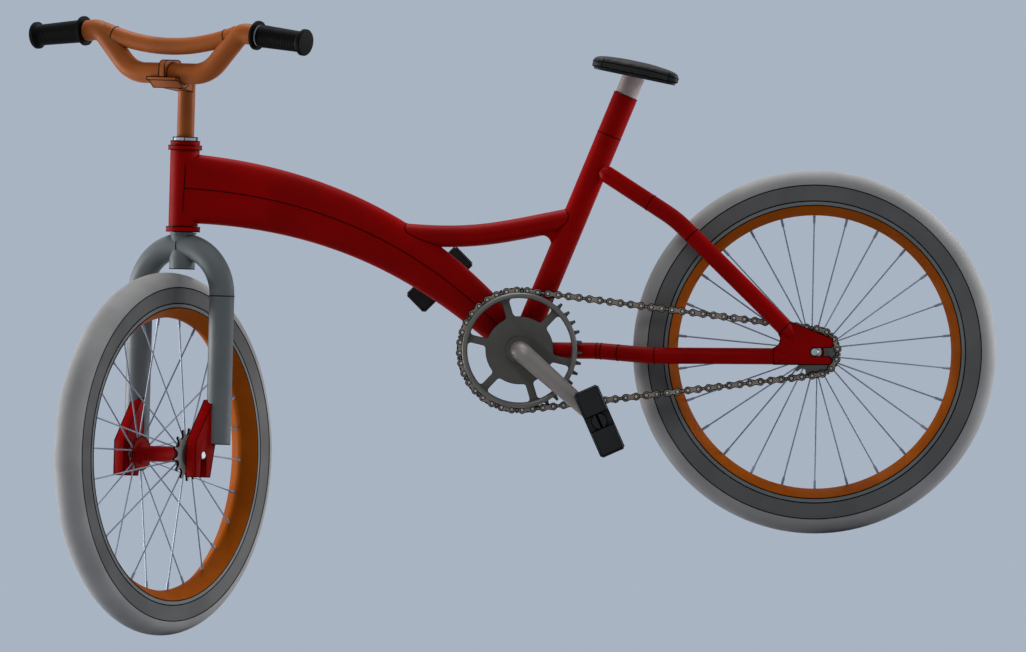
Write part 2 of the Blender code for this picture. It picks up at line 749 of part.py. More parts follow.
def tooth_outline(teeth, phase):
    """A sprocket's edge: tapered teeth, and roots that clear the chain's rollers."""
    pitch_radius = teeth * CHAIN_PITCH / (2 * pi)
    root = pitch_radius - TOOTH_ROOT_DEPTH
    tip = pitch_radius + TOOTH_HEIGHT
    tip_width = TOOTH_TIP_WIDTH
    width_on_pitch = CHAIN_PITCH - 2 * TOOTH_ROOT_DEPTH
    flare = (width_on_pitch - tip_width) / TOOTH_HEIGHT
    root_width = tip_width + flare * (TOOTH_HEIGHT + TOOTH_ROOT_DEPTH)
    outline = []
    for i in range(teeth):
        angle = phase + i * 2 * pi / teeth
        outline.append(polar(root, angle - root_width / 2 / root))
        outline.append(polar(tip, angle - tip_width / 2 / tip))
        outline.append(polar(tip, angle + tip_width / 2 / tip))
        outline.append(polar(root, angle + root_width / 2 / root))
    return outline


def main_tube_path(count):
    """The oval tube's centre line, from the head tube's middle to just above the bracket."""
    head = HEAD_FOOT + HEAD_AXIS * (HEAD_TUBE_LENGTH / 2)
    foot = BRACKET + Vector((0, 0, MAIN_TUBE_BRACKET_RISE))
    span = (head - foot).length
    return bezier(head, MAIN_TUBE_HEAD_WAY, span * 0.533, foot, MAIN_TUBE_BRACKET_WAY, span * 0.178, count)


def main_tube_half(share):
    """Half the oval's height, this share of the way from the head tube to the bracket."""
    return MAIN_TUBE_HEAD_HALF + (MAIN_TUBE_BRACKET_HALF - MAIN_TUBE_HEAD_HALF) * share


def main_tube_rings(angles, grow=0.0, count=9):
    """Sections of the main tube at the given angles round its oval, grown by a clearance."""
    path = main_tube_path(count)
    rings_of_points = []
    for i, centre in enumerate(path):
        along = (path[min(i + 1, count - 1)] - path[max(i - 1, 0)]).normalized()
        upward = Vector((-along.z, 0, along.x)) * (main_tube_half(i / (count - 1)) + grow)
        sideways = on_frame(0, MAIN_TUBE_HALF_WIDTH + grow, 0)
        rings_of_points.append([centre + upward * sin(angle) + sideways * cos(angle) for angle in angles])
    return rings_of_points


def make_front_triangle():
    """Head tube, bracket shell, seat tube, oval main tube and the strut over it."""
    head_place = Matrix.Translation(HEAD_FOOT) @ Matrix.Rotation(HEAD_TILT, 4, "Y")
    head = axis_empty("head_axis", head_place, BICYCLE)
    ring("head_tube", HEAD_TUBE_RADIUS - HEAD_TUBE_WALL, HEAD_TUBE_RADIUS, 0, HEAD_TUBE_LENGTH, 24,
         RED_ENAMEL, head)
    head_cutter = cylinder("head_cutter", HEAD_TUBE_RADIUS + GAP, -HEAD_TUBE_LENGTH, HEAD_TUBE_LENGTH * 2, 24,
                           None, head)

    shell_place = Matrix.Translation(BRACKET) @ SIDEWAYS
    wide = BRACKET_HALF_WIDTH
    ring("bracket_shell", BRACKET_RADIUS - BRACKET_WALL, BRACKET_RADIUS, -wide, wide, 24, RED_ENAMEL, BICYCLE,
         shell_place)
    shell_cutter = cylinder("bracket_cutter", BRACKET_RADIUS + GAP, -wide * 2, wide * 2, 24, None, BICYCLE,
                            shell_place)

    seat_place = Matrix.Translation(BRACKET) @ Matrix.Rotation(pi / 2 - SEAT_ANGLE, 4, "Y")
    seat = axis_empty("seat_tube_axis", seat_place, BICYCLE)
    seat_tube = ring("seat_tube", SEAT_TUBE_BORE, SEAT_TUBE_RADIUS, BRACKET_RADIUS / 2, SEAT_TUBE_LENGTH, 16,
                     RED_ENAMEL, seat)
    cut(seat_tube, shell_cutter)
    sleeve_top = SEAT_TUBE_LENGTH + SEAT_SLEEVE_LENGTH
    ring("seat_tube_sleeve", SEAT_TUBE_BORE, SEAT_TUBE_RADIUS, SEAT_TUBE_LENGTH + GAP, sleeve_top, 16,
         RED_ENAMEL, seat)
    seat_cutter = cylinder("seat_tube_cutter", SEAT_TUBE_RADIUS + GAP, 0, sleeve_top * 1.2, 16, None, seat)

    for name, low, lift in (("main_tube_upper", 0, 1), ("main_tube_lower", pi, -1)):
        angles = [low + i * pi / 8 for i in range(9)]
        half = loft(name, main_tube_rings(angles), RED_ENAMEL, BICYCLE)
        half.location.z = lift * GAP / 2
        cut(half, head_cutter, shell_cutter, seat_cutter)
    make_strut(seat_cutter)
    return head, seat, shell_cutter, seat_cutter


def make_strut(seat_cutter):
    """The curved strut, with the rounded gusset under its joint with the seat tube."""
    path = main_tube_path(3)
    start = path[1] + Vector((0, 0, main_tube_half(0.5) * 0.79))
    end = up_to_seat(STRUT_HEIGHT)
    pull = (end - start).length * 0.43
    strut_path = bezier(start, STRUT_FRONT_WAY, pull, end, STRUT_REAR_WAY, pull, 7)
    strut = solid(tube("strut", strut_path, STRUT_RADIUS, RED_ENAMEL, BICYCLE))

    way = Vector((cos(STRUT_REAR_WAY), 0, sin(STRUT_REAR_WAY)))
    down = Vector((way.z, 0, -way.x))
    inwards = (SEAT_TUBE_RADIUS + STRUT_RADIUS * down.dot(SEAT_ACROSS)) / way.dot(SEAT_ACROSS)
    corner = end + down * STRUT_RADIUS - way * inwards
    reach = GUSSET_RADIUS * tan((STRUT_REAR_WAY + pi - SEAT_ANGLE) / 2 - STRUT_REAR_WAY)
    touch = corner - way * reach
    foot = corner - SEAT_AXIS * reach
    centre = touch + down * GUSSET_RADIUS
    bend = arc(GUSSET_RADIUS, STRUT_REAR_WAY + pi / 2, SEAT_ANGLE - pi / 2, 6, (centre.x, centre.z))
    inside = [foot + SEAT_ACROSS * SEAT_TUBE_RADIUS, end, touch - down * STRUT_RADIUS]
    outline = bend + [(spot.x, spot.z) for spot in inside]
    gusset = solid(plate("strut_gusset", outline, GUSSET_WIDTH, None, BICYCLE, SIDEWAYS))
    whole_oval = [i * pi / 8 for i in range(16)]
    main_cutter = loft("main_tube_cutter", main_tube_rings(whole_oval, GAP * 2), None, BICYCLE)
    cut(join(strut, gusset), main_cutter, seat_cutter)


def dropout_outline():
    """The rear dropout from the side, with its axle slot open to the rear."""
    slot_half = AXLE_RADIUS + GAP
    bottom = -CHAINSTAY_RADIUS - CHAINSTAY_DROP
    foot = CHAINSTAY_RADIUS - CHAINSTAY_DROP
    end = Vector(SEAT_STAY_END)
    edge = Vector((cos(pi / 4), sin(pi / 4))) * STAY_RADIUS
    tail, tail_top = DROPOUT_TAIL
    return [
        tuple(end + edge),
        (tail, tail_top),
        (tail, slot_half + DROPOUT_CHAMFER),
        (REAR_SLOT_LENGTH, slot_half),
        *arc(slot_half, pi / 2, 3 * pi / 2, 7),
        (REAR_SLOT_LENGTH - DROPOUT_CHAMFER, -slot_half),
        (REAR_SLOT_LENGTH, -slot_half - DROPOUT_CHAMFER),
        (REAR_SLOT_LENGTH, bottom + DROPOUT_CHAMFER),
        (REAR_SLOT_LENGTH - DROPOUT_CHAMFER, bottom),
        (-DROPOUT_FRONT, bottom),
        *bowed((-DROPOUT_FRONT, foot), end - edge, DROPOUT_THROAT, 5),
    ]


def make_rear_end(shell_cutter, seat_cutter):
    """Stays and dropouts, left and right."""
    stay_way = REAR_SLOPE - pi / 4
    stay_back = Vector((cos(stay_way), 0, sin(stay_way)))
    top = up_to_seat(SEAT_STAY_TOP, -STAY_SETBACK)
    stay_end = from_axle(*SEAT_STAY_END)
    span = stay_end - top
    bow = Vector((-span.z, 0, span.x)).normalized() * SEAT_STAY_BOW
    bend = top + span * 0.397 + bow
    stay_wide = TYRE_WIDTH / 2 + STAY_RADIUS + SEAT_STAY_TYRE_GAP
    chainstay_wide = TYRE_WIDTH / 2 + CHAINSTAY_RADIUS + CHAINSTAY_TYRE_GAP
    tyre_front = -TYRE_RADIUS + CHAINSTAY_TYRE_GAP * 2
    bracket_side = -CENTRES + BRACKET_RADIUS / 3
    outline = dropout_outline()
    turn = SIDEWAYS @ Matrix.Rotation(REAR_SLOPE, 4, "Z")
    for side, name in ((1, "left"), (-1, "right")):
        place = Matrix.Translation(from_axle(0, 0, side * STAY_LEFT)) @ turn
        plate("rear_dropout_" + name, outline, REAR_DROPOUT, RED_ENAMEL, BICYCLE, place)

        low = stay_end - stay_back * GAP
        knee = stay_end - stay_back * SEAT_STAY_KNEE
        corners = [
            on_frame(top.x, side * STAY_INSET, top.z),
            on_frame(bend.x, side * stay_wide, bend.z),
            on_frame(knee.x, side * STAY_LEFT, knee.z),
            on_frame(low.x, side * STAY_LEFT, low.z),
        ]
        path = rounded_path(corners, SEAT_STAY_BENDS)
        stay = tube("seat_stay_" + name, path, STAY_RADIUS, RED_ENAMEL, BICYCLE)
        cut(solid(stay), seat_cutter)

        corners = [
            from_axle(bracket_side, 0, side * CHAINSTAY_INSET),
            from_axle(tyre_front * 0.59 - CENTRES * 0.41, 0, side * CHAINSTAY_INSET),
            from_axle(tyre_front, -CHAINSTAY_DROP, side * chainstay_wide),
            from_axle(-DROPOUT_FRONT - CHAINSTAY_KNEE, -CHAINSTAY_DROP, side * STAY_LEFT),
            from_axle(-DROPOUT_FRONT - GAP, -CHAINSTAY_DROP, side * STAY_LEFT),
        ]
        path = rounded_path(corners, CHAINSTAY_BENDS)
        stay = tube("chainstay_" + name, path, CHAINSTAY_RADIUS, RED_ENAMEL, BICYCLE)
        cut(solid(stay), shell_cutter)


def make_headset(head, steering):
    """Pressed cups with their balls in the head tube, and the race and nut on the steerer."""
    bore = HEADSET_BORE
    spigot = HEADSET_SPIGOT_RADIUS
    seat = bore + (HEAD_TUBE_RADIUS + UPPER_CUP_STEP - bore) * 0.607
    for name, face, up, outside, depth in (
        ("upper", HEAD_TUBE_LENGTH, 1, HEAD_TUBE_RADIUS + UPPER_CUP_STEP, UPPER_CUP),
        ("lower", 0, -1, HEAD_TUBE_RADIUS + LOWER_CUP_STEP, LOWER_CUP),
    ):
        pressed = [(bore, -CUP_SPIGOT), (spigot, -CUP_SPIGOT), (spigot, GAP), (outside, GAP)]
        balls = [(outside, depth), (seat, depth), (seat, depth * 0.86), (bore + GAP, depth * 0.65),
                 (bore, depth * 0.34)]
        profile = [(radius, face + up * height) for radius, height in pressed + balls]
        turned(f"headset_{name}_bearing", profile, 14, RED_ENAMEL, head)
    race_foot = HEAD_TUBE_LENGTH + UPPER_CUP + GAP
    race_radius = STEERER_RADIUS + ADJUSTING_RACE_WALL
    fit = bore_for(STEERER_RADIUS, 16, GAP)
    ring("headset_adjusting_race", fit, race_radius, race_foot, LOCKNUT_FOOT - GAP, 16, RED_ENAMEL, steering)
    locknut = hexagon("headset_locknut", 2 * (STEERER_RADIUS + LOCKNUT_WALL), LOCKNUT_FOOT, LOCKNUT_TOP,
                      BRIGHT_STEEL, steering)
    cut(locknut, cylinder("locknut_cutter", fit, LOCKNUT_FOOT - LOCKNUT, LOCKNUT_TOP + LOCKNUT, 16, None,
                          steering))


def ball_ring(name, inner, outer, middle, half_width, parent, place=None):
    """The balls of a bearing with their cage, as one faceted ring."""
    centre = (inner + outer) / 2
    profile = [(inner, middle), (centre, middle - half_width), (outer, middle), (centre, middle + half_width)]
    return turned(name, profile, 10, BRIGHT_STEEL, parent, place)


def fork_block_outline():
    """A fork dropout from the side, seen from its axle, with the slot open downwards."""
    slot = AXLE_RADIUS + GAP
    rear = FORK_RAKE - BLOCK_REAR
    heel = rear - BLOCK_HEEL
    return [
        (-BLOCK_FRONT, -BLOCK_BOTTOM),
        (-slot, -BLOCK_BOTTOM),
        *arc(slot, pi, 0, 7),
        (slot, -BLOCK_BOTTOM),
        (heel, -BLOCK_BOTTOM),
        (rear, BLOCK_SHOULDER),
        (rear, BLOCK_TOP),
        (rear - BLOCK_TOP_WIDTH, BLOCK_TOP),
        (heel, BLOCK_TOP - BLOCK_TOP_CHAMFER),
        (-BLOCK_FRONT, BLOCK_NOSE),
    ]


def make_fork(steering):
    """Steerer, bent fork tube with its crown sleeve, and the two dropout blocks."""
    race_top = -LOWER_CUP - GAP * 2
    race_foot = race_top - CROWN_RACE
    steerer = ring("steerer", STEERER_BORE, STEERER_RADIUS, -CROWN_SLEEVE_END, LOCKNUT_TOP - LOCKNUT / 4, 16,
                   GREY_ENAMEL, steering)
    race_radius = STEERER_SLEEVE_RADIUS + CROWN_RACE_STEP
    join(steerer, ring("crown_race", (STEERER_BORE + STEERER_RADIUS) / 2, race_radius, race_foot, race_top, 16,
                       None, steering))

    leg_end = FORK_LEG_END - FORK_LENGTH
    arch = arc(FORK_HALF_SPAN, 0, pi, 11, (0, -FORK_ARCH_CENTRE))
    path = [Vector((0, -FORK_HALF_SPAN, leg_end))]
    path += [Vector((0, -across, height)) for across, height in arch]
    path.append(Vector((0, FORK_HALF_SPAN, leg_end)))
    fork = solid(tube("fork", path, FORK_TUBE_RADIUS, GREY_ENAMEL, steering))
    sleeve = cylinder("crown_sleeve", STEERER_SLEEVE_RADIUS, -CROWN_SLEEVE_END, race_foot - GAP, 16, None,
                      steering)
    join(fork, sleeve)
    bore = bore_for(STEERER_RADIUS, 16, GAP)
    cut(fork, cylinder("crown_bore", bore, -CROWN_SLEEVE_END * 2, race_top, 16, None, steering))

    axle_place = Matrix.Translation((-FORK_RAKE, 0, -FORK_LENGTH)) @ SIDEWAYS
    outline = fork_block_outline()
    rear = FORK_RAKE - BLOCK_REAR
    for side, name in ((1, "left"), (-1, "right")):
        middle = side * (FORK_BLOCK_INNER + FORK_BLOCK / 2)
        place = axle_place @ Matrix.Translation((0, 0, middle))
        plate("fork_dropout_" + name, outline, FORK_BLOCK, RED_ENAMEL, steering, place)
        notch_low = (0, 0, middle - FORK_BLOCK / 2 - GAP)
        notch_high = (rear + GAP, BLOCK_TOP + GAP, middle + FORK_BLOCK / 2 + GAP)
        cut(fork, box("fork_notch_" + name, notch_low, notch_high, None, steering, axle_place))


def make_stem(bars):
    """Quill stem with its trough-shaped head, its wedge and bolt, and the strap over the bar."""
    head_top = BAR_HEIGHT - STEM_HEAD_DROP
    flange_foot = head_top - STEM_FLANGE_THICKNESS
    head_foot = BAR_HEIGHT - BAR_SEAT_RADIUS - STEM_TROUGH_WALL
    stem = cylinder("stem", QUILL_RADIUS, QUILL_FOOT, head_top, 20, COPPER_ENAMEL, bars)

    flange_edge = flange_foot + STEM_FLANGE_THICKNESS / 8
    half = [(STEM_TROUGH_FOOT, head_foot), (STEM_TROUGH, flange_foot), (STEM_FLANGE, flange_edge),
            (STEM_FLANGE, head_top)]
    trough = [(x - STEM_REACH, z) for x, z in half] + [(-x - STEM_REACH, z) for x, z in reversed(half)]
    root = -QUILL_RADIUS / 5
    neck = [
        (-STEM_REACH, head_foot),
        (-QUILL_RADIUS, head_foot - STEM_ROOT_DROP * 0.7),
        (root, head_foot - STEM_ROOT_DROP),
        (root, head_top),
        (-STEM_REACH, head_top),
    ]
    head = solid(plate("stem_head", trough, STEM_HEAD_LENGTH, None, bars, SIDEWAYS))
    neck = solid(plate("stem_neck", neck, STEM_HALF_WIDTH * 2, None, bars, SIDEWAYS))
    seat_place = Matrix.Translation((-STEM_REACH, 0, BAR_HEIGHT)) @ SIDEWAYS
    bar_cutter = cylinder("bar_cutter", BAR_SEAT_RADIUS, -STEM_HEAD_LENGTH, STEM_HEAD_LENGTH, 16, None, bars,
                          seat_place)
    bolt_bore = bore_for(QUILL_BOLT_RADIUS, 10, GAP)
    join(stem, head, neck)
    cut(stem, bar_cutter, cylinder("quill_bore", bolt_bore, 0, head_top * 2, 10, None, bars))

    slant = Matrix.Translation((0, 0, QUILL_FOOT + QUILL_WEDGE / 2)) @ Matrix.Rotation(radians(35), 4, "Y")
    wide = QUILL_RADIUS * 5
    cut(stem, box("quill_slant", (-wide, -wide, -wide * 2), (wide, wide, GAP / 2), None, bars, slant))
    wedge = cylinder("stem_bolt_and_wedge", QUILL_RADIUS, QUILL_FOOT - QUILL_WEDGE_FOOT,
                     QUILL_FOOT + QUILL_WEDGE, 20, BRIGHT_STEEL, bars)
    cut(wedge, box("wedge_slant", (-wide, -wide, -GAP / 2), (wide, wide, wide * 2), None, bars, slant))
    bolt_top = head_top + QUILL_BOLT_HEAD_HEIGHT
    join(wedge, cylinder("stem_bolt", QUILL_BOLT_RADIUS, QUILL_FOOT, bolt_top - GAP, 10, None, bars),
         cylinder("stem_bolt_head", QUILL_BOLT_HEAD, head_top + GAP, bolt_top, 6, None, bars))

    foot = GAP - STEM_HEAD_DROP
    dip = asin(foot / BAR_SEAT_RADIUS)
    top = BAR_SEAT_RADIUS + STRAP_TOP_WALL
    bend = STRAP_CORNER
    outline = [
        (STEM_FLANGE, foot),
        *arc(bend, 0, pi / 2, 4, (STEM_FLANGE - bend, top - bend)),
        *arc(bend, pi / 2, pi, 4, (bend - STEM_FLANGE, top - bend)),
        (-STEM_FLANGE, foot),
        *arc(BAR_SEAT_RADIUS, pi - dip, dip, 12),
    ]
    plate("stem_strap", outline, STRAP_WIDTH, COPPER_ENAMEL, bars, seat_place)


def make_handlebar(bars):
    """The bar in one plane ahead of the steering axis, its crossbar and its grips."""
    high = BAR_HEIGHT + BAR_RISE
    slope = -BAR_DROOP / (BAR_HALF_SPAN - BAR_ELBOW_HIGH)
    neck = high + slope * BAR_NECK

    def at(left, height):
        return Vector((-STEM_REACH, -left, height))

    half = rounded_path(
        [at(0, BAR_HEIGHT), at(BAR_ELBOW_LOW, BAR_HEIGHT), at(BAR_ELBOW_HIGH, high), at(GRIP_START, neck)],
        [BAR_LOW_BEND, BAR_HIGH_BEND],
    )
    radii = [BAR_RADIUS] * len(half) + [BAR_GRIP_RADIUS] * 2
    half += [at(GRIP_START + BAR_GRIP_TAPER, neck), at(BAR_HALF_SPAN, high - BAR_DROOP)]
    mirrored = [Vector((p.x, -p.y, p.z)) for p in reversed(half[1:])]
    both_radii = radii[:0:-1] + radii
    tube("handlebar", mirrored + half, BAR_RADIUS, COPPER_ENAMEL, bars, radii=both_radii)

    grown = [radius + GAP * 2 for radius in both_radii]
    bar_cutter = solid(tube("handlebar_cutter", mirrored + half, BAR_RADIUS, None, bars, radii=grown))
    reach = BAR_ELBOW_HIGH - CROSSBAR_INSET
    length = reach * 1.1
    path = []
    for i in range(9):
        left = length * (i / 4 - 1)
        path.append(at(left, high - CROSSBAR_DROP - CROSSBAR_SAG * (1 - (left / reach) ** 2)))
    crossbar = solid(tube("crossbar", path, CROSSBAR_RADIUS, COPPER_ENAMEL, bars))
    cut(crossbar, bar_cutter)

    lean = -atan2(slope, 1)
    for side, name in ((1, "left"), (-1, "right")):
        turn = Matrix.Rotation(side * (pi / 2 + lean), 4, "X")
        place = Matrix.Translation(at(side * GRIP_START, neck)) @ turn
        make_grip(name, BAR_GRIP_TAPER + GAP, bars, place)


def make_grip(name, start, bars, place):
    """A rubber grip with a flange at each end, and the light ring in its neck."""
    inner = bore_for(BAR_GRIP_RADIUS, 12, GAP)
    neck = inner + GRIP_NECK_WALL
    neck_start = start + GRIP_FLANGE
    neck_end = neck_start + GRIP_RING + GAP * 2
    end = GRIP_LENGTH
    cap = end - GRIP_END_WALL
    turned("grip_" + name, [
        (0, cap), (inner, cap), (inner, start), (GRIP_FLANGE_RADIUS, start), (GRIP_FLANGE_RADIUS, neck_start),
        (neck, neck_start), (neck, neck_end), (GRIP_RADIUS + GRIP_SWELL, neck_end),
        (GRIP_RADIUS, end - GRIP_END * 1.33), (GRIP_END_RADIUS, end - GRIP_END),
        (GRIP_END_RADIUS, end - GRIP_END / 6), (GRIP_END_RADIUS - GRIP_END / 4, end), (0, end),
    ], 12, BLACK_RUBBER, bars, place)
    ring("grip_ring_" + name, bore_for(neck, 12, GAP), GRIP_RING_RADIUS, neck_start + GAP, neck_end - GAP, 12,
         BRIGHT_STEEL, bars, place)


def make_wheel(name, axle, wheel, axle_half, dropout_inner, axle_parent, sprocket_parent):
    """Tyre, tube, rim, spoked hub, sprocket and bearings, with the axle that they turn on."""
    side = TYRE_WIDTH / 2
    crown = RIM_RADIUS + TYRE_SIDEWALL
    inside = side - TYRE_WALL
    foot = RIM_RADIUS + GAP
    outer = arc(side, pi / 2, -pi / 2, 5, (crown, 0))
    inner = arc(inside, -pi / 2, pi / 2, 4, (crown, 0))
    turned(name + "_tyre", [(foot, side), *outer, (foot, -side), (foot, -inside), *inner, (foot, inside)],
           WHEEL_SEGMENTS, TYRE_RUBBER, wheel)
    tube_segments = WHEEL_SEGMENTS // 2
    least = foot / cos(pi / tube_segments)
    section = circle(inside - TUBE_SLACK, 6, (crown, 0), pi / 2)
    turned(name + "_inner_tube", [(max(radius, least), height) for radius, height in section], tube_segments,
           BUTYL_RUBBER, wheel)

    shoulder = RIM_RADIUS - RIM_SIDE
    lip = side - RIM_WALL
    well = RIM_RADIUS - RIM_WELL_DEPTH
    turned(name + "_rim", [
        (RIM_RADIUS, side), (shoulder, side), (RIM_BED_RADIUS, RIM_BED_HALF_WIDTH),
        (RIM_BED_RADIUS, -RIM_BED_HALF_WIDTH), (shoulder, -side), (RIM_RADIUS, -side),
        (RIM_RADIUS, -lip), (well, -RIM_WELL_HALF_WIDTH), (well, RIM_WELL_HALF_WIDTH), (RIM_RADIUS, lip),
    ], WHEEL_SEGMENTS, ORANGE_ENAMEL, wheel)

    seat = make_hub(name, wheel)
    spacer_foot = HUB_FACE + (HUB_FACE - seat) / 3
    spacer_end = dropout_inner - GAP
    spacer_radius = HUB_SEAT_RADIUS - AXLE_SPACER_GAP
    half = [(0, axle_half), (AXLE_RADIUS, axle_half), (AXLE_RADIUS, spacer_end), (spacer_radius, spacer_end),
            (spacer_radius, spacer_foot), (AXLE_CONE_RADIUS, spacer_foot), (AXLE_CONE_RADIUS, seat + GAP),
            (AXLE_RADIUS, seat + GAP)]
    turned(name + "_axle", half + [(radius, -height) for radius, height in reversed(half)], 10, BRIGHT_STEEL,
           axle_parent, axle)

    _, run, _, sprocket_arc = chain_route(CENTRES)
    sprocket_centre = Vector((cos(REAR_SLOPE), sin(REAR_SLOPE))) * CENTRES
    phase = tooth_phase(sprocket_centre, run + sprocket_arc / 2)
    hole = circle(bore_for(HUB_BOSS_RADIUS, 16), 16)
    teeth = tooth_outline(SPROCKET_TEETH, phase)
    plate(name + "_sprocket", teeth, TOOTH_THICKNESS, DARK_STEEL, sprocket_parent,
          Matrix.Translation((0, 0, CHAINLINE)), [hole])


def make_hub(name, wheel):
    """The hub shell with its flanges and spokes, and the ball rings in its two seats."""
    face = HUB_FACE
    back = face - HUB_FLANGE
    seat = face - HUB_SEAT_DEPTH
    flare = seat - HUB_FLARE
    boss = HUB_BOSS_FACE
    hub = turned(name + "_hub_and_spokes", [
        (HUB_BOSS_RADIUS, boss), (HUB_BOSS_RADIUS, face),
        (HUB_FLANGE_RADIUS, face), (HUB_FLANGE_RADIUS, back),
        (HUB_CUP_RADIUS, back), (HUB_BARREL_RADIUS, flare), (HUB_BARREL_RADIUS, -flare),
        (HUB_CUP_RADIUS, -back), (HUB_FLANGE_RADIUS, -back), (HUB_FLANGE_RADIUS, -face),
        (HUB_SEAT_RADIUS, -face), (HUB_SEAT_RADIUS, -seat), (HUB_BORE_RADIUS, -seat), (HUB_BORE_RADIUS, seat),
        (HUB_SEAT_RADIUS, seat), (HUB_SEAT_RADIUS, boss),
    ], HUB_SEGMENTS, RED_ENAMEL, wheel)
    join(hub, make_spokes(name, wheel))
    space = GAP * 2
    for hand, end in ((1, "left"), (-1, "right")):
        ball_ring(name + "_hub_balls_" + end, AXLE_CONE_RADIUS + space, HUB_SEAT_RADIUS - space,
                  hand * (seat + face) / 2, HUB_BALL_HALF_WIDTH, wheel)
    return seat


def make_spokes(name, wheel):
    """All spokes of a wheel as bars, crossing from alternate flanges to the rim's bed."""
    hub_radius = HUB_FLANGE_RADIUS - SPOKE_EDGE
    rim_radius = RIM_BED_RADIUS * cos(pi / WHEEL_SEGMENTS) - GAP * 2
    flange_place = HUB_FACE - HUB_FLANGE / 2
    shape = bmesh.new()
    for i in range(SPOKES):
        hand = 1 if i % 2 == 0 else -1
        lean = SPOKE_LEAN if (i // 2) % 2 == 0 else -SPOKE_LEAN
        angle = SPOKE_PHASE + i * 2 * pi / SPOKES
        foot = Vector((*polar(hub_radius, angle + lean), hand * flange_place))
        top = Vector((*polar(rim_radius, angle), hand * SPOKE_HEAD_OFFSET))
        way = top - foot
        place = Matrix.Translation((foot + top) / 2) @ way.to_track_quat("Z", "Y").to_matrix().to_4x4()
        bmesh.ops.create_cone(shape, cap_ends=True, segments=3, radius1=SPOKE_RADIUS, radius2=SPOKE_RADIUS,
                              depth=way.length, matrix=place)
    return add(name + "_spokes", mesh_from(shape), None, wheel)


def ring_window(middle):
    """One opening of the chainring, between two arms, with its corners taken off."""
    corner = min(RING_CORNER, (RING_RIM_RADIUS - RING_DISC_RADIUS) / 3)
    points = []
    for radius, hand, count in ((RING_RIM_RADIUS, 1, 5), (RING_DISC_RADIUS, -1, 3)):
        side = radius - hand * corner
        side_reach = pi / RING_ARMS - asin(RING_ARM_WIDTH / 2 / side)
        reach = pi / RING_ARMS - asin(RING_ARM_WIDTH / 2 / radius) - corner / radius
        points.append(polar(side, middle - hand * side_reach))
        points += arc(radius, middle - hand * reach, middle + hand * reach, count)
        points.append(polar(side, middle + hand * side_reach))
    return points


def make_drive(crank):
    """Chainring and its guard ring, which turn with the crank."""
    _, run, ring_arc, sprocket_arc = chain_route(CENTRES)
    phase = tooth_phase(Vector((0, 0)), 2 * run + sprocket_arc + ring_arc / 2) - CRANK_ANGLE
    windows = [ring_window(RING_ARM_PHASE + (i + 0.5) * 2 * pi / RING_ARMS) for i in range(RING_ARMS)]
    hub_hole = circle(CRANK_AXLE_RADIUS + GAP * 2, 12)
    pin_hole = circle(bore_for(DRIVE_PIN_RADIUS, 8, GAP), 8, (DRIVE_PIN_ARM, 0))
    plate("chainring", tooth_outline(RING_TEETH, phase), TOOTH_THICKNESS, DARK_STEEL, crank,
          Matrix.Translation((0, 0, CHAINLINE)), [*windows, hub_hole, pin_hole])
    foot = RING_FACE + GAP
    rolled_edge = arc(GUARD_EDGE_RADIUS, 0, pi, 4, (GUARD_RADIUS, GUARD_EDGE_PLACE))
    turned("guard_ring", [
        (GUARD_INNER_RADIUS, foot),
        (GUARD_FOOT_RADIUS, foot),
        (GUARD_FOOT_RADIUS, GUARD_FOOT_TOP),
        *rolled_edge,
    ], 28, FORGED_STEEL, crank)


def make_crank(crank):
    """The one-piece crank with its eyes, collar, drive pin, cones and locknut."""
    corners = [(CRANK_LENGTH, 0, CRANK_EYE), (0, 0, CRANK_ELBOW), (0, 0, -CRANK_ELBOW),
               (-CRANK_LENGTH, 0, -CRANK_EYE)]
    path = rounded_path(corners, [CRANK_BEND_RADIUS] * 2, radians(18))
    radii = []
    for spot in path:
        share = abs(spot.x) / CRANK_LENGTH
        on_arm = CRANK_ROOT_RADIUS + (CRANK_TIP_RADIUS - CRANK_ROOT_RADIUS) * share
        radii.append(CRANK_AXLE_RADIUS if share < 0.001 else on_arm)
    arms = solid(tube("crank", path, CRANK_AXLE_RADIUS, FORGED_STEEL, crank, radii=radii))
    collar_foot = RING_FACE + GAP
    collar_end = collar_foot + CRANK_COLLAR_THICKNESS
    join(arms, cylinder("crank_collar", CRANK_COLLAR_RADIUS, collar_foot, collar_end, 12, None, crank))
    pin_place = Matrix.Translation((DRIVE_PIN_ARM, 0, 0))
    pin_foot = CHAINLINE - TOOTH_THICKNESS / 2
    join(arms, cylinder("crank_drive_pin", DRIVE_PIN_RADIUS, pin_foot, CRANK_ELBOW, 8, None, crank, pin_place))
    half = CRANK_EYE_THICKNESS / 2
    outside = CRANK_EYE_THICKNESS * 1.5
    wide = CRANK_EYE_RADIUS * 2
    cone_end = BRACKET_HALF_WIDTH + CUP_LIP
    cone_start = BRACKET_HALF_WIDTH - CUP_DEPTH * 0.65
    for hand, name in ((1, "left"), (-1, "right")):
        eye_place = Matrix.Translation((hand * CRANK_LENGTH, 0, hand * CRANK_EYE))
        join(arms, cylinder("crank_eye_" + name, CRANK_EYE_RADIUS, -half, half, 12, None, crank, eye_place))
        hole = bore_for(PEDAL_SPINDLE_RADIUS, 12, GAP)
        cut(arms, cylinder("crank_eye_bore_" + name, hole, -outside, outside, 12, None, crank, eye_place))
        near, far = sorted((hand * half, hand * outside))
        cut(arms, box("crank_eye_face_" + name, (-wide, -wide, near), (wide, wide, far), None, crank,
                      eye_place))
        near, far = sorted((hand * cone_start, hand * cone_end))
        join(arms, cylinder("crank_cone_" + name, CRANK_CONE_RADIUS, near, far, 12, None, crank))
    nut_foot = GAP - cone_end
    nut_size = 2 * (CRANK_CONE_RADIUS + CRANK_NUT_WALL)
    join(arms, hexagon("crank_locknut", nut_size, nut_foot - CRANK_NUT_THICKNESS, nut_foot, None, crank))


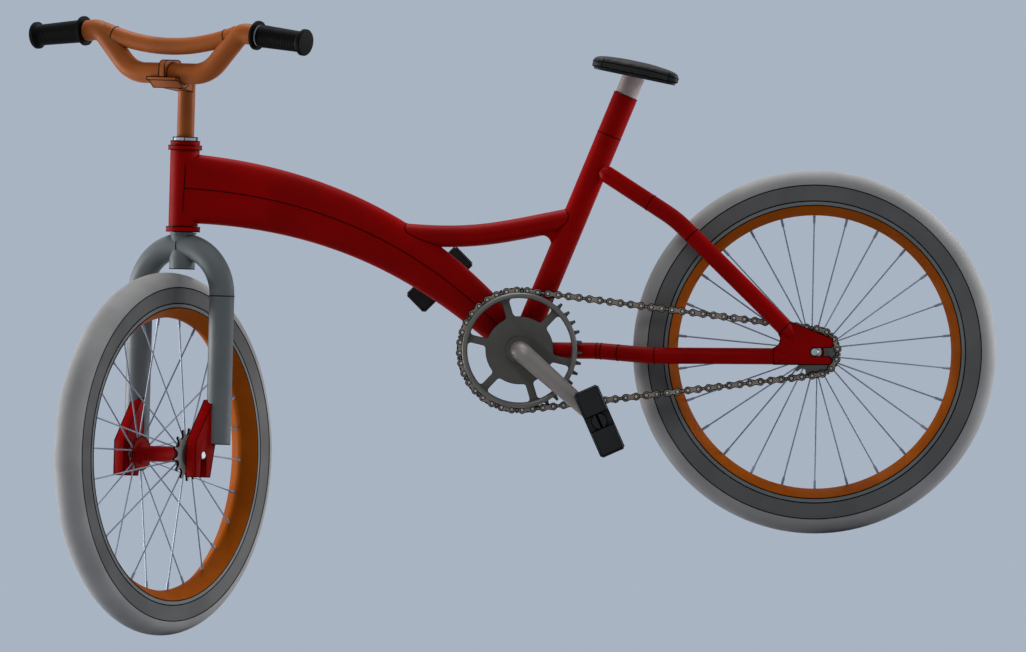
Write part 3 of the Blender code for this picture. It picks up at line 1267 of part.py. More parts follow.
def make_bracket_bearings():
    """A pressed cup on each side of the bracket, with the ball ring that the crank's cone runs in."""
    place = Matrix.Translation(BRACKET) @ SIDEWAYS
    outer = BRACKET_CUP_RADIUS
    seat = outer - CUP_WALL
    mouth = CRANK_CONE_RADIUS + BRACKET_BALL_SPACE / 6
    balls_radius = CRANK_CONE_RADIUS + BRACKET_BALL_SPACE / 2
    face = BRACKET_HALF_WIDTH + GAP
    lip = face + CUP_LIP
    foot = BRACKET_HALF_WIDTH - CUP_DEPTH
    profile = [
        (mouth, foot), (outer, foot), (outer, face),
        (outer + CUP_LIP_STEP, face), (outer + CUP_LIP_STEP, lip),
        (seat, lip), (seat, foot + CUP_DEPTH * 0.82), (mouth, foot + CUP_DEPTH * 0.59),
        (balls_radius, foot + CUP_DEPTH * 0.29),
    ]
    for hand, name in ((1, "left"), (-1, "right")):
        points = [(radius, hand * height) for radius, height in profile]
        turned("bracket_bearing_" + name, points, 14, BRIGHT_STEEL, BICYCLE, place)


def make_pedal(name, hand, crank, angle):
    """A block pedal with a recessed waist round its barrel, and the spindle that it turns on."""
    spindle_place = Matrix.Translation((hand * CRANK_LENGTH, 0, 0))
    eye_face = CRANK_EYE + CRANK_EYE_THICKNESS / 2 + GAP
    shoulder = eye_face - GAP + PEDAL_SHOULDER
    body_foot = shoulder + GAP * 2
    body_end = body_foot + PEDAL_WIDTH
    tip = body_end - PEDAL_END_WALL - GAP * 3
    root = CRANK_EYE - CRANK_EYE_THICKNESS * 0.35
    radius = PEDAL_SPINDLE_RADIUS
    step = radius + PEDAL_SHOULDER_STEP
    profile = [(0, root), (radius, root), (radius, eye_face), (step, eye_face), (step, shoulder),
               (radius, shoulder), (radius, tip), (0, tip)]
    points = [(size, hand * height) for size, height in profile]
    turned("pedal_spindle_" + name, points, 12, BRIGHT_STEEL, crank, spindle_place)

    axis = axis_empty("pedal_axis_" + name, spindle_place @ Matrix.Rotation(angle, 4, "Z"), crank)
    long, thick = PEDAL_LENGTH / 2, PEDAL_THICKNESS / 2
    low, high = sorted((hand * body_foot, hand * body_end))
    body = box("pedal_" + name, (-long, -thick, low), (long, thick, high), BLACK_PLASTIC, axis)
    edge = body.modifiers.new("edge", "BEVEL")
    edge.width = PEDAL_EDGE
    edge.segments = 1
    waist = PEDAL_WAIST / 2
    for label, place, reach in (("inner", body_foot, 1), ("outer", body_end, -1)):
        near, far = sorted((hand * (place - reach * PEDAL_RECESS), hand * (place + reach * PEDAL_RECESS)))
        high = thick * 1.3
        recess = box(f"pedal_recess_{label}_{name}", (-waist, -high, near), (waist, high, far), None, axis)
        barrel = cylinder(f"pedal_barrel_{label}_{name}", PEDAL_BARREL_RADIUS, near - PEDAL_EDGE,
                          far + PEDAL_EDGE, 12, None, axis)
        cut(recess, barrel)
        cut(body, recess)
    near, far = sorted((hand * (body_foot - PEDAL_RECESS), hand * (body_end - PEDAL_END_WALL)))
    cut(body, cylinder("pedal_bore_" + name, bore_for(radius, 12), near, far, 12, None, axis))


def make_chain():
    """Two strips of waisted link plates, joined by a roller on every pin."""
    edges = []
    for hand in (1, -1):
        points = []
        for i in range(CHAIN_LINKS):
            for place, height in ((i, CHAIN_PLATE_HEIGHT), (i + 0.5, CHAIN_PLATE_WAIST)):
                spot, way = chain_pin(place)
                points.append(tuple(spot + Vector(polar(hand * height / 2, way + pi / 2))))
        edges.append(points)
    place = Matrix.Translation(BRACKET) @ SIDEWAYS
    half = (CHAIN_INNER_WIDTH + CHAIN_PLATE) / 2
    strips = []
    for name, look, hand in (("chain", CHAIN_STEEL, -1), ("chain_strip", None, 1)):
        middle = CHAINLINE + hand * half
        strip_place = place @ Matrix.Translation((0, 0, middle))
        strips.append(solid(plate(name, edges[0], CHAIN_PLATE, look, BICYCLE, strip_place, [edges[1]])))
    rollers = bmesh.new()
    for i in range(CHAIN_LINKS):
        spot, way = chain_pin(i)
        turn = Matrix.Translation((*spot, CHAINLINE)) @ Matrix.Rotation(way, 4, "Z")
        bmesh.ops.create_cone(rollers, cap_ends=True, segments=4, radius1=CHAIN_ROLLER_RADIUS,
                              radius2=CHAIN_ROLLER_RADIUS, depth=half * 2, matrix=turn)
    join(strips[0], add("chain_rollers", mesh_from(rollers), None, BICYCLE, place), strips[1])


def saddle_outline(inset):
    """The saddle seen from above: narrow in front, wide behind, with round corners."""
    front, rear = inset - SADDLE_FRONT, SADDLE_REAR - inset
    front_side, rear_side = SADDLE_FRONT_WIDTH / 2 - inset, SADDLE_REAR_WIDTH / 2 - inset
    corners = [
        Vector((front, front_side)), Vector((rear, rear_side)),
        Vector((rear, -rear_side)), Vector((front, -front_side)),
    ]
    bend = max(SADDLE_CORNER - inset * 0.4, SADDLE_LEAST_CORNER)
    points = []
    for before, corner, after in zip(corners[-1:] + corners, corners, corners[1:] + corners[:1]):
        start = corner + (before - corner).normalized() * bend
        end = corner + (after - corner).normalized() * bend
        for share in (0, 0.33, 0.67, 1):
            points.append(start.lerp(corner, share).lerp(corner.lerp(end, share), share))
        points.append((corner + after) / 2)
    return points


def saddle_crown(x):
    if x > 0:
        return SADDLE_HEIGHT - SADDLE_REAR_DROP * (x / SADDLE_REAR) ** 2
    return SADDLE_HEIGHT - SADDLE_FRONT_DROP * (x / SADDLE_FRONT) ** 2


def make_saddle(post):
    """Seat post, moulded base with the spigot that plugs into it, and the padded top."""
    sleeve_top = SEAT_TUBE_LENGTH + SEAT_SLEEVE_LENGTH
    top = sleeve_top + POST_EXPOSED
    tilt = SADDLE_TILT - (pi / 2 - SEAT_ANGLE)
    place = Matrix.Translation((0, 0, top)) @ Matrix.Rotation(tilt, 4, "Y")
    seat_post = ring("seat_post", POST_BORE, POST_RADIUS, sleeve_top - POST_INSERTED, top + POST_RADIUS, 16,
                     PINK_ALLOY, post)
    wide = POST_RADIUS * 5
    cut(seat_post, box("seat_post_top", (-wide, -wide, -GAP), (wide, wide, wide), None, post, place))

    outline = [tuple(point) for point in saddle_outline(SADDLE_BASE_INSET)]
    plate_place = place @ Matrix.Translation((0, 0, SADDLE_BASE / 2))
    base = solid(plate("saddle_base", outline, SADDLE_BASE, BLACK_PLASTIC, post, plate_place))
    spigot = POST_BORE * cos(pi / 16) - GAP
    join(base, cylinder("saddle_spigot", spigot, top - SADDLE_SPIGOT, top + SADDLE_BASE / 3, 16, None, post))

    foot = SADDLE_BASE + GAP
    rings_of_points = []
    for inset, share in SADDLE_SIDE:
        row = []
        for point in saddle_outline(inset):
            row.append(Vector((point.x, point.y, foot + (saddle_crown(point.x) - foot) * share)))
        rings_of_points.append(row)
    loft("saddle_pad", rings_of_points, SADDLE_VINYL, post, place)


def build():
    head, seat, shell_cutter, seat_cutter = make_front_triangle()
    make_rear_end(shell_cutter, seat_cutter)

    steering = axis_empty("steering_axis", head.matrix_local @ Matrix.Rotation(STEER_ANGLE, 4, "Z"), BICYCLE)
    make_headset(head, steering)
    make_fork(steering)
    bars = axis_empty("stem_axis", Matrix.Identity(4), steering)
    make_stem(bars)
    make_handlebar(bars)

    front_place = Matrix.Translation((-FORK_RAKE, 0, -FORK_LENGTH)) @ SIDEWAYS
    front = axis_empty("front_wheel_axis", front_place, steering)
    make_wheel("front", front_place, front, FORK_HALF_SPAN, FORK_BLOCK_INNER, steering, front)

    rear_place = Matrix.Translation(REAR_AXLE) @ SIDEWAYS
    rear = axis_empty("rear_wheel_axis", rear_place, BICYCLE)
    rear_driver = axis_empty("rear_sprocket_axis", rear_place, BICYCLE)
    rear_half = REAR_DROPOUT_INNER + REAR_DROPOUT
    make_wheel("rear", rear_place, rear, rear_half, REAR_DROPOUT_INNER, BICYCLE, rear_driver)

    crank_place = Matrix.Translation(BRACKET) @ SIDEWAYS @ Matrix.Rotation(CRANK_ANGLE, 4, "Z")
    crank = axis_empty("crank_axis", crank_place, BICYCLE)
    make_drive(crank)
    make_crank(crank)
    make_bracket_bearings()
    make_pedal("left", 1, crank, PEDAL_ANGLE_LEFT - CRANK_ANGLE)
    make_pedal("right", -1, crank, PEDAL_ANGLE_RIGHT - CRANK_ANGLE)
    make_chain()

    post = axis_empty("seat_post_axis", seat.matrix_local.copy(), BICYCLE)
    make_saddle(post)


clear_scene()
PARTS = new_collection("bicycle")
HELPERS = new_collection("cutters")
BICYCLE = axis_empty("bicycle_origin", Matrix.Identity(4))
build()
bpy.context.view_layer.update()
print(f"rear axle x {REAR_AXLE.x:.4f}, head tube foot z {HEAD_FOOT.z:.4f}, fork length {FORK_LENGTH:.4f}")
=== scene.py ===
# %% [markdown]
# # A child's bicycle
#
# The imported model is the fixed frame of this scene: tubes, wheels, chain, cranks and saddle already
# stand at their real size and place. This lesson dresses them. It sets the camera and the light
# first, then the finishes, and then models each part again with the fine shape that the plain
# solids leave out, such as the links of the chain and the round edges of the rims.

# %% Load the frame
from math import asin, atan2, copysign, cos, pi, radians, sin, tan

import bmesh
import bpy
from mathutils import Matrix, Quaternion, Vector
from mathutils.bvhtree import BVHTree


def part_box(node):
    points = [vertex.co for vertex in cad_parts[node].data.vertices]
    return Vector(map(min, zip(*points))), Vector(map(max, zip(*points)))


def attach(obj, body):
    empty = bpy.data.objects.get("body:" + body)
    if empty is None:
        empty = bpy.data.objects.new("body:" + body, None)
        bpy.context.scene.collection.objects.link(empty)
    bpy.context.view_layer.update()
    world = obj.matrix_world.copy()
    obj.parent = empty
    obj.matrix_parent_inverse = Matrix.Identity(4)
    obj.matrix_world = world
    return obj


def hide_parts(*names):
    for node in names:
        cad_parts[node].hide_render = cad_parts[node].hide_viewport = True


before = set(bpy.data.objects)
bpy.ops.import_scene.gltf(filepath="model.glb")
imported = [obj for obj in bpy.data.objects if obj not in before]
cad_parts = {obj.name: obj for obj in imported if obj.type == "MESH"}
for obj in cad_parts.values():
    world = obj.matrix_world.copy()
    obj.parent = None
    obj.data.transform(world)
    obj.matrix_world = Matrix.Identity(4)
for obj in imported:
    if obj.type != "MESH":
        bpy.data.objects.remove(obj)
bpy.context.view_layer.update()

# %% [markdown]
# ## Camera
#
# The photograph is a straight side view: the rear wheel is a true circle in it. A long lens far
# away would come close to that, but an orthographic camera gives it exactly, so that is used. The
# whole bicycle is tipped in the picture, front end down. The camera is rolled about its own axis
# instead of the bicycle, so that the wheels stay on a level floor.

# %% Camera
PIXEL = 0.0012176
PHOTO_WIDTH = 1026
PHOTO_HEIGHT = 652
REAR_AXLE_PIXEL = (814.5, 352.0)
CAMERA_ROLL = radians(8.74)
CAMERA_DISTANCE = 4.0

axle_low, axle_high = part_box("rear_axle")
REAR_AXLE = Vector([(low + high) / 2 for low, high in zip(axle_low, axle_high)])


def add_object(name, data):
    made = bpy.data.objects.new(name, data)
    bpy.context.scene.collection.objects.link(made)
    return made


def aim_camera():
    """The photograph's view: along +Y, rolled, with the rear axle on its own pixel."""
    picture_right = Vector((cos(CAMERA_ROLL), 0, -sin(CAMERA_ROLL)))
    picture_up = Vector((sin(CAMERA_ROLL), 0, cos(CAMERA_ROLL)))
    across = (PHOTO_WIDTH / 2 - REAR_AXLE_PIXEL[0]) * PIXEL
    upward = (REAR_AXLE_PIXEL[1] - PHOTO_HEIGHT / 2) * PIXEL
    backwards = Vector((0, -1, 0))
    centre = REAR_AXLE + picture_right * across + picture_up * upward
    lens = bpy.data.cameras.new("side_view")
    lens.type = "ORTHO"
    lens.ortho_scale = PHOTO_WIDTH * PIXEL
    camera = add_object("side_view", lens)
    turn = Matrix((picture_right, picture_up, backwards)).transposed().to_4x4()
    camera.matrix_world = Matrix.Translation(centre + backwards * CAMERA_DISTANCE) @ turn
    bpy.context.scene.camera = camera
    return camera


print("camera at", [round(value, 3) for value in aim_camera().location])

# %% [markdown]
# ## Colour and shader helpers
#
# A screen colour is written as hex, which is sRGB, while a shader counts in linear light, so one
# function turns the first into the second. Another adds one shader node with its settings and
# links. Nodes could be placed by hand in the shader editor, but then each finish would have to be
# drawn anew, and here they all share one drawing.

# %% Colour and shader helpers
def from_hex(code):
    """A hex sRGB colour as Blender's linear RGBA."""
    channels = [int(code[i:i + 2], 16) / 255 for i in (1, 3, 5)]
    return [c / 12.92 if c <= 0.04045 else ((c + 0.055) / 1.055) ** 2.4 for c in channels] + [1.0]


def node(tree, kind, links=(), **settings):
    """A shader node with its settings, its inputs linked or set: {input: socket or value}."""
    made = tree.nodes.new(kind)
    for name, value in settings.items():
        setattr(made, name, value)
    for name, value in dict(links).items():
        if isinstance(value, bpy.types.NodeSocket):
            tree.links.new(value, made.inputs[name])
        else:
            made.inputs[name].default_value = value
    return made


print("red enamel in linear light:", [round(value, 3) for value in from_hex("#820000")])

# %% [markdown]
# ## Floor and light
#
# A studio sweep could be a curved sheet, but here a pale floor and a pale room are enough. Seen
# square from the side the floor is a line under the wheels, so the background of the main view is
# the room itself. The photograph's tubes are dim where they face the eye and bright at their edges,
# so the large lamps stand beside, above and a little behind the bicycle.

# %% Floor
FLOOR_SIZE = 14.0
FLOOR_COLOUR = "#B4B8BF"
FLOOR_ROUGHNESS = 0.85


def lay_floor():
    bpy.ops.mesh.primitive_plane_add(size=FLOOR_SIZE, location=(0, 0, 0))
    floor = bpy.context.object
    floor.name = "studio_floor"
    paint = bpy.data.materials.new("matt_studio_floor")
    paint.use_nodes = True
    shader = paint.node_tree.nodes["Principled BSDF"]
    shader.inputs["Base Color"].default_value = from_hex(FLOOR_COLOUR)
    shader.inputs["Roughness"].default_value = FLOOR_ROUGHNESS
    floor.data.materials.append(paint)
    return floor


print(lay_floor().name, "laid,", FLOOR_SIZE, "m wide")

# %% Room
ROOM_COLOUR = "#A9B4C3"
ROOM_LIGHT = 0.28


def light_room():
    """A plain world: one colour for the eye and for reflections, another for the light."""
    world = bpy.data.worlds.new("studio")
    bpy.context.scene.world = world
    world.use_nodes = True
    tree = world.node_tree
    tree.nodes.clear()
    path = node(tree, "ShaderNodeLightPath")
    seen = node(tree, "ShaderNodeMath", {0: path.outputs["Is Camera Ray"],
                                         1: path.outputs["Is Glossy Ray"]}, operation="MAXIMUM")
    light = node(tree, "ShaderNodeBackground", {"Color": from_hex("#FFFFFF"),
                                                "Strength": ROOM_LIGHT})
    room = node(tree, "ShaderNodeBackground", {"Color": from_hex(ROOM_COLOUR), "Strength": 1.0})
    mix = node(tree, "ShaderNodeMixShader", {0: seen.outputs[0], 1: light.outputs[0],
                                             2: room.outputs[0]})
    node(tree, "ShaderNodeOutputWorld", {"Surface": mix.outputs[0]})
    return world


print("room:", light_room().name)

# %% Lamps
LAMP_TARGET = Vector((0, 0, 0.35))
# Each lamp: its name, its place and its size in metres, and its power in watts.
LAMPS = (("key_lamp", (-0.6, -2.2, 3.0), 1.6, 31), ("left_lamp", (-3.2, 0.9, 0.55), 1.8, 150),
         ("right_lamp", (3.2, 0.7, 0.55), 1.8, 135), ("top_lamp", (0.2, 0.9, 3.2), 1.8, 100))

for name, place, size, power in LAMPS:
    lamp = bpy.data.lights.new(name, "AREA")
    lamp.size = size
    lamp.energy = power
    holder = add_object(name, lamp)
    holder.location = place
    holder.rotation_euler = (LAMP_TARGET - Vector(place)).to_track_quat("-Z", "Y").to_euler()
bpy.context.scene.view_settings.view_transform = "Standard"
print(len(LAMPS), "lamps hung")

# %% [markdown]
# ## Finishes
#
# Most of a bicycle is steel tube under baked enamel: smooth, with a faint orange peel where the
# sprayed paint flowed, and slightly duller where hands and dust have been. Bright parts are plated
# or polished steel, dark ones are black oxide. Rubber and moulded plastic are matt with a fine
# grain. A painted picture could show all that, but it would have to be laid on every curved part.
# Instead one function builds each finish from noise on the part's own coordinates: a soft large
# variation of the colour and a fine bump, both sized in millimetres.

# %% The base of every finish
MM = 0.001
PATCH_MM = 60.0
NOISE_DETAIL = 2.0
WEAR_FROM, WEAR_TO = 0.42, 0.62
DULL_FROM, DULL_TO = 0.40, 0.65
DULLER = 0.08


def speckle(tree, grain_mm):
    """Noise on the part's own coordinates, with grains of this size in millimetres."""
    place = node(tree, "ShaderNodeTexCoord")
    return node(tree, "ShaderNodeTexNoise",
                {"Vector": place.outputs["Object"], "Scale": 1 / (grain_mm * MM),
                 "Detail": NOISE_DETAIL}, noise_dimensions="3D")


def finish(name, colour, worn, roughness, grain_mm, bump_mm, metallic=0.0, patch_mm=PATCH_MM,
           shine=0.5):
    """A finish: colour with soft worn patches, roughness that follows them, and a fine bump."""
    made = bpy.data.materials.new(name)
    made.use_nodes = True
    tree = made.node_tree
    shader = tree.nodes["Principled BSDF"]
    patches = speckle(tree, patch_mm).outputs["Fac"]
    tone = node(tree, "ShaderNodeMapRange", {"Value": patches, "From Min": WEAR_FROM,
                                             "From Max": WEAR_TO})
    mix = node(tree, "ShaderNodeMix", {0: tone.outputs[0], 6: from_hex(colour),
                                       7: from_hex(worn)}, data_type="RGBA")
    dull = node(tree, "ShaderNodeMapRange", {"Value": patches, "From Min": DULL_FROM,
                                             "From Max": DULL_TO, "To Min": roughness,
                                             "To Max": roughness + DULLER})
    grain = speckle(tree, grain_mm)
    bump = node(tree, "ShaderNodeBump", {"Height": grain.outputs["Fac"], "Strength": 1.0,
                                         "Distance": bump_mm * MM})
    tree.links.new(mix.outputs[2], shader.inputs["Base Color"])
    tree.links.new(dull.outputs[0], shader.inputs["Roughness"])
    tree.links.new(bump.outputs[0], shader.inputs["Normal"])
    shader.inputs["Metallic"].default_value = metallic
    shader.inputs["Specular IOR Level"].default_value = shine
    return made


print("worn patches are", PATCH_MM, "mm wide")

# %% Enamel and powder coat
# Baked enamel on steel tube: deep colour, a wide soft highlight and a faint orange peel, as after
# a season outdoors. Its grain is drawn at 2.4 mm, as wide as real orange peel.
ENAMEL_SKIN = {"grain_mm": 2.4, "bump_mm": 0.004}
# Frame, hubs and headset: a deep red that hardly reflects the room.
RED_ENAMEL = finish("baked_red_enamel", "#820000", "#780000", 0.46, shine=0.03, **ENAMEL_SKIN)
# Stem and bars: a warm copper brown, a touch glossier than the red.
COPPER_ENAMEL = finish("baked_copper_enamel", "#88481D", "#7D421A", 0.46, shine=0.08, **ENAMEL_SKIN)
# Fork: a cool middle grey that shows the room along its edges.
GREY_ENAMEL = finish("baked_grey_enamel", "#5B6063", "#545A5C", 0.44, shine=0.20, **ENAMEL_SKIN)
# The rims' sloping faces: a burnt orange, dull from brake dust and mud.
ORANGE_ENAMEL = finish("baked_orange_enamel", "#8A4306", "#803D05", 0.50, shine=0.02, **ENAMEL_SKIN)
# Satin powder coat on the rims' flat sides: an even grey with a soft, slightly rough sheen.
RIM_GREY = finish("satin_grey_powder_coat", "#63696A", "#5C6263", 0.55, 0.8, 0.010, shine=0.25)
print("five coats mixed")

# %% Steels and alloy
# Cold-drawn steel with bright plating: the room is seen in it.
BRIGHT_STEEL = finish("bright_plated_steel", "#B0B6B8", "#A3A8AC", 0.30, 1.2, 0.002, metallic=0.9)
# Galvanised spoke wire: a cool blue-grey that stays thin and quiet against the tyre.
SPOKE_STEEL = finish("galvanised_spoke_wire", "#778293", "#6D7888", 0.42, 0.6, 0.004, metallic=0.4)
# Zinc-plated sheet of the front sprocket: pale and slightly cloudy.
ZINC_STEEL = finish("zinc_plated_sheet", "#B2B5B4", "#A6A9A8", 0.40, 0.8, 0.004, metallic=0.1)
# Black oxide on the stamped chainring: dark, slightly brown, with a dull sheen. On the crank's
# fittings the same dark colour is painted shade round the crank's elbow.
DARK_STEEL = finish("black_oxide_and_painted_shade_steel", "#4F4D48", "#494742", 0.50, 0.9, 0.006, metallic=0.2,
                    shine=0.3)
# Phosphated sprocket steel: a greenish middle grey, matt.
SPROCKET_STEEL = finish("phosphated_sprocket_steel", "#60645E", "#595C57", 0.50, 0.9, 0.006,
                        metallic=0.3)
# The rolled guard ring is oxidised too, a little lighter and smoother than the chainring.
GUARD_STEEL = finish("rubbed_oxide_steel", "#63625C", "#585752", 0.30, 0.9, 0.004, metallic=0.2)
# Forged and tumbled steel: the crank's warm grey with the faint skin of the forging.
FORGED_STEEL = finish("tumbled_forged_steel", "#857E79", "#7A746F", 0.42, 1.6, 0.012,
                      metallic=0.35, shine=0.4)
# Oiled chain plates: brown-grey from old oil, in patches as wide as a few links.
CHAIN_STEEL = finish("oiled_chain_steel", "#887B6D", "#786C5F", 0.46, 0.7, 0.008, metallic=0.25,
                     patch_mm=9)
# Riveted pin heads: rubbed light, a small bright dot on each link.
PIN_STEEL = finish("worn_pin_steel", "#BDBFC2", "#A9ABAD", 0.34, 0.5, 0.004, metallic=0.4,
                   patch_mm=7)
# Turned and brushed alloy of the seat post: pale, a little pink in the photograph's light.
BRUSHED_ALLOY = finish("brushed_alloy_post", "#9F8D89", "#96837F", 0.40, 0.5, 0.008, metallic=0.3)
print("ten metals mixed")

# %% Rubber, plastic and vinyl
# Vulcanised tread rubber: a matt light grey with a fine mould grain.
CROWN_RUBBER = finish("grey_tread_rubber", "#868686", "#7E7E7E", 0.72, 0.5, 0.030, shine=0.25)
# The sidewall is a darker, smoother mix.
WALL_RUBBER = finish("dark_sidewall_rubber", "#555555", "#505050", 0.66, 0.5, 0.020, shine=0.2)
# Moulded black rubber of the grips: nearly no highlight.
BLACK_RUBBER = finish("moulded_black_rubber", "#050505", "#080808", 0.56, 0.6, 0.030, shine=0.04)
# Injection moulded nylon of pedals and saddle base: black with a soft edge light.
BLACK_PLASTIC = finish("moulded_black_nylon", "#191A1B", "#151617", 0.48, 0.5, 0.020, shine=0.2)
# Grained vinyl of the saddle: a soft grey-black, its grain drawn at 0.9 mm.
SADDLE_VINYL = finish("grained_saddle_vinyl", "#252623", "#20211F", 0.56, 0.9, 0.060, shine=0.10)
# The fine dark line that a joint between two painted parts shows. The same dark colour paints
# the shade along the chain's plates and round its pins.
JOINT_AND_SHADE_LINE = finish("dark_joint_line", "#030202", "#050303", 0.70, 0.8, 0.004, shine=0.02)
print(len(bpy.data.materials), "materials")

# %% [markdown]
# ## Taking up, placing and dressing a piece
#
# By hand a piece is clicked, edited, moved to its place and given a material. Each of these steps
# is one small function here, because an operator acts on all that is selected and the frame's own
# solids would otherwise be changed too. A piece is drawn round the origin and its place is then
# worked into its mesh, so that every object itself stays at the origin, as the frame's own do.

# %% Taking up, placing and dressing a piece
FLAT_ANGLE = radians(32)
MERGE_GAP = 0.00001


def clear_selection():
    bpy.ops.object.select_all(action="DESELECT")


def take_up(piece):
    """Makes the piece the only selected and the active one."""
    clear_selection()
    piece.select_set(True)
    bpy.context.view_layer.objects.active = piece


def bake(piece, place):
    """Moves the piece's mesh to its place on the bicycle; its object stays at the origin."""
    piece.data.transform(place)
    piece.matrix_world = Matrix.Identity(4)
    piece.data.update()
    return piece


def merge_corners(gap=MERGE_GAP, outwards=True):
    """Merges the doubled corners of the active piece, and turns its faces outwards."""
    bpy.ops.object.mode_set(mode="EDIT")
    bpy.ops.mesh.select_all(action="SELECT")
    bpy.ops.mesh.remove_doubles(threshold=gap)
    if outwards:
        bpy.ops.mesh.normals_make_consistent(inside=False)
    bpy.ops.object.mode_set(mode="OBJECT")


def modify(piece, kind, **settings):
    """Adds a modifier with its settings to the active piece, and applies it."""
    step = piece.modifiers.new(kind.lower(), kind)
    for name, value in settings.items():
        setattr(step, name, value)
    bpy.ops.object.modifier_apply(modifier=step.name)
    return piece


def together(name, *pieces):
    clear_selection()
    for piece in pieces:
        piece.select_set(True)
    bpy.context.view_layer.objects.active = pieces[0]
    bpy.ops.object.join()
    pieces[0].name = name
    return pieces[0]


def dress(piece, body, material, replaces=()):
    """Gives the piece its finish, hangs it on its body and hides the nodes that it stands for."""
    if material:
        piece.data.materials.clear()
        piece.data.materials.append(material)
    take_up(piece)
    bpy.ops.object.shade_smooth_by_angle(angle=FLAT_ANGLE)
    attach(piece, body)
    if replaces:
        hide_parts(*replaces)
    return piece


def dress_red(piece, *nodes, body="frame"):
    return dress(piece, body, RED_ENAMEL, nodes)


print("handling functions ready")

# %% [markdown]
# ## Places
#
# Every part is drawn round its own axis and then put on the bicycle: a wheel round its axle, the
# crank round the bottom bracket, the bars round the steering axis. The numbers of the frame's
# geometry below give all of those places. They could be read from each solid's box, but a few
# lengths and angles say plainly how a bicycle is laid out. The steering is turned as in the
# photograph.

# %% Places
BRACKET = Vector((0, 0, 0.2787))
HEAD_FOOT = Vector((-0.382, 0, 0.4900))
HEAD_TILT = 0.17942
STEER_ANGLE = 0.97564
SEAT_ANGLE = 1.0228
CRANK_ANGLE = -0.87965
FORK_RAKE = 0.0304
FORK_LENGTH = 0.27768
REAR_SLOPE = -0.15838
CENTRES = 0.35919


def shift(x, y, z):
    return Matrix.Translation((x, y, z))


def facing(way):
    """The turn that lays the z axis along this direction."""
    return Vector(way).to_track_quat("Z", "Y").to_matrix().to_4x4()


SIDEWAYS = Matrix.Rotation(pi / 2, 4, "X")
HEAD = Matrix.Translation(HEAD_FOOT) @ Matrix.Rotation(HEAD_TILT, 4, "Y")
STEERING = HEAD @ Matrix.Rotation(STEER_ANGLE, 4, "Z")
STEERING_TURN = STEERING.to_3x3()
FRONT_WHEEL = STEERING @ shift(-FORK_RAKE, 0, -FORK_LENGTH) @ SIDEWAYS
REAR_WHEEL = Matrix.Translation(REAR_AXLE) @ SIDEWAYS
BRACKET_PLACE = Matrix.Translation(BRACKET) @ SIDEWAYS
CRANK = BRACKET_PLACE @ Matrix.Rotation(CRANK_ANGLE, 4, "Z")
SEAT = Matrix.Translation(BRACKET) @ Matrix.Rotation(pi / 2 - SEAT_ANGLE, 4, "Y")
HEAD_AXIS = Vector((sin(HEAD_TILT), 0, cos(HEAD_TILT)))
SEAT_AXIS = Vector((cos(SEAT_ANGLE), 0, sin(SEAT_ANGLE)))
SEAT_ACROSS = Vector((sin(SEAT_ANGLE), 0, -cos(SEAT_ANGLE)))

WHEELS = (("front", FRONT_WHEEL, "front_wheel"), ("rear", REAR_WHEEL, "rear_wheel"))
SIDES = ((1, "left"), (-1, "right"))
print("front wheel at", [round(v, 3) for v in FRONT_WHEEL.translation])

# %% [markdown]
# ## Spinning a profile
#
# Wheels, hubs, grips and cups are bodies of revolution. A cylinder could be cut and pushed into
# each, but a turner works from a profile, and so does this: one vertex is extruded from point to
# point, and the spin tool turns the line round the axis. The fine dark joint lines round a wheel
# or a tube are thin rings on its surface.

# %% Spinning a profile
WHEEL_STEPS = 128
SEAM_RADIUS = 0.0006


def trace(name, points):
    """A profile in the x-z plane, drawn by extruding one vertex from point to point."""
    clear_selection()
    bpy.ops.mesh.primitive_plane_add(size=0.01, location=(0, 0, 0))
    piece = bpy.context.object
    piece.name = name
    bpy.ops.object.mode_set(mode="EDIT")
    bpy.ops.mesh.select_all(action="SELECT")
    bpy.ops.mesh.merge(type="CENTER")
    radius, height = points[0]
    bpy.ops.transform.translate(value=(radius, 0, height))
    for (radius, height), (next_radius, next_height) in zip(points, points[1:]):
        step = (next_radius - radius, 0, next_height - height)
        bpy.ops.mesh.extrude_vertices_move(TRANSFORM_OT_translate={"value": step})
    return piece


def lathe(name, profile, place, steps=64):
    """A profile of (radius, height) spun round the z axis, closed and turned outwards."""
    piece = trace(name, profile)
    bpy.ops.mesh.select_all(action="SELECT")
    bpy.ops.mesh.spin(steps=steps, angle=2 * pi, center=(0, 0, 0), axis=(0, 0, 1))
    merge_corners()
    return bake(piece, place)


def closed(profile):
    return [*profile, profile[0]]


def flipped(profile):
    """The same points below the middle plane, in the order that carries the line on."""
    return [(radius, -height) for radius, height in reversed(profile)]


def soft_ring(inner, outer, low, high, edge):
    """The closed profile of a ring with its outer edges broken."""
    return closed([(inner, low), (outer - edge, low), (outer, low + edge), (outer, high - edge),
                   (outer - edge, high), (inner, high)])


def arc(radius, start, end, count, centre=(0, 0)):
    """Points on a circle from one angle to another."""
    return [(centre[0] + radius * cos(start + (end - start) * i / (count - 1)),
             centre[1] + radius * sin(start + (end - start) * i / (count - 1)))
            for i in range(count)]


def fine_ring(name, radius, place, width=SEAM_RADIUS, around=WHEEL_STEPS, sides=6):
    clear_selection()
    bpy.ops.mesh.primitive_torus_add(major_segments=around, minor_segments=sides,
                                     major_radius=radius, minor_radius=width)
    piece = bpy.context.object
    piece.name = name
    return bake(piece, place)


print("a wheel has", WHEEL_STEPS, "steps")

# %% [markdown]
# ## Tyres
#
# A tyre of this kind has a round pale tread over a flat dark sidewall, with a fine step in the
# rubber where the two moulds meet. A torus would be round all over, without that flat wall. So the
# tyre is spun from two profiles, each with its own rubber, and the joint lines are thin rings on
# the surface.

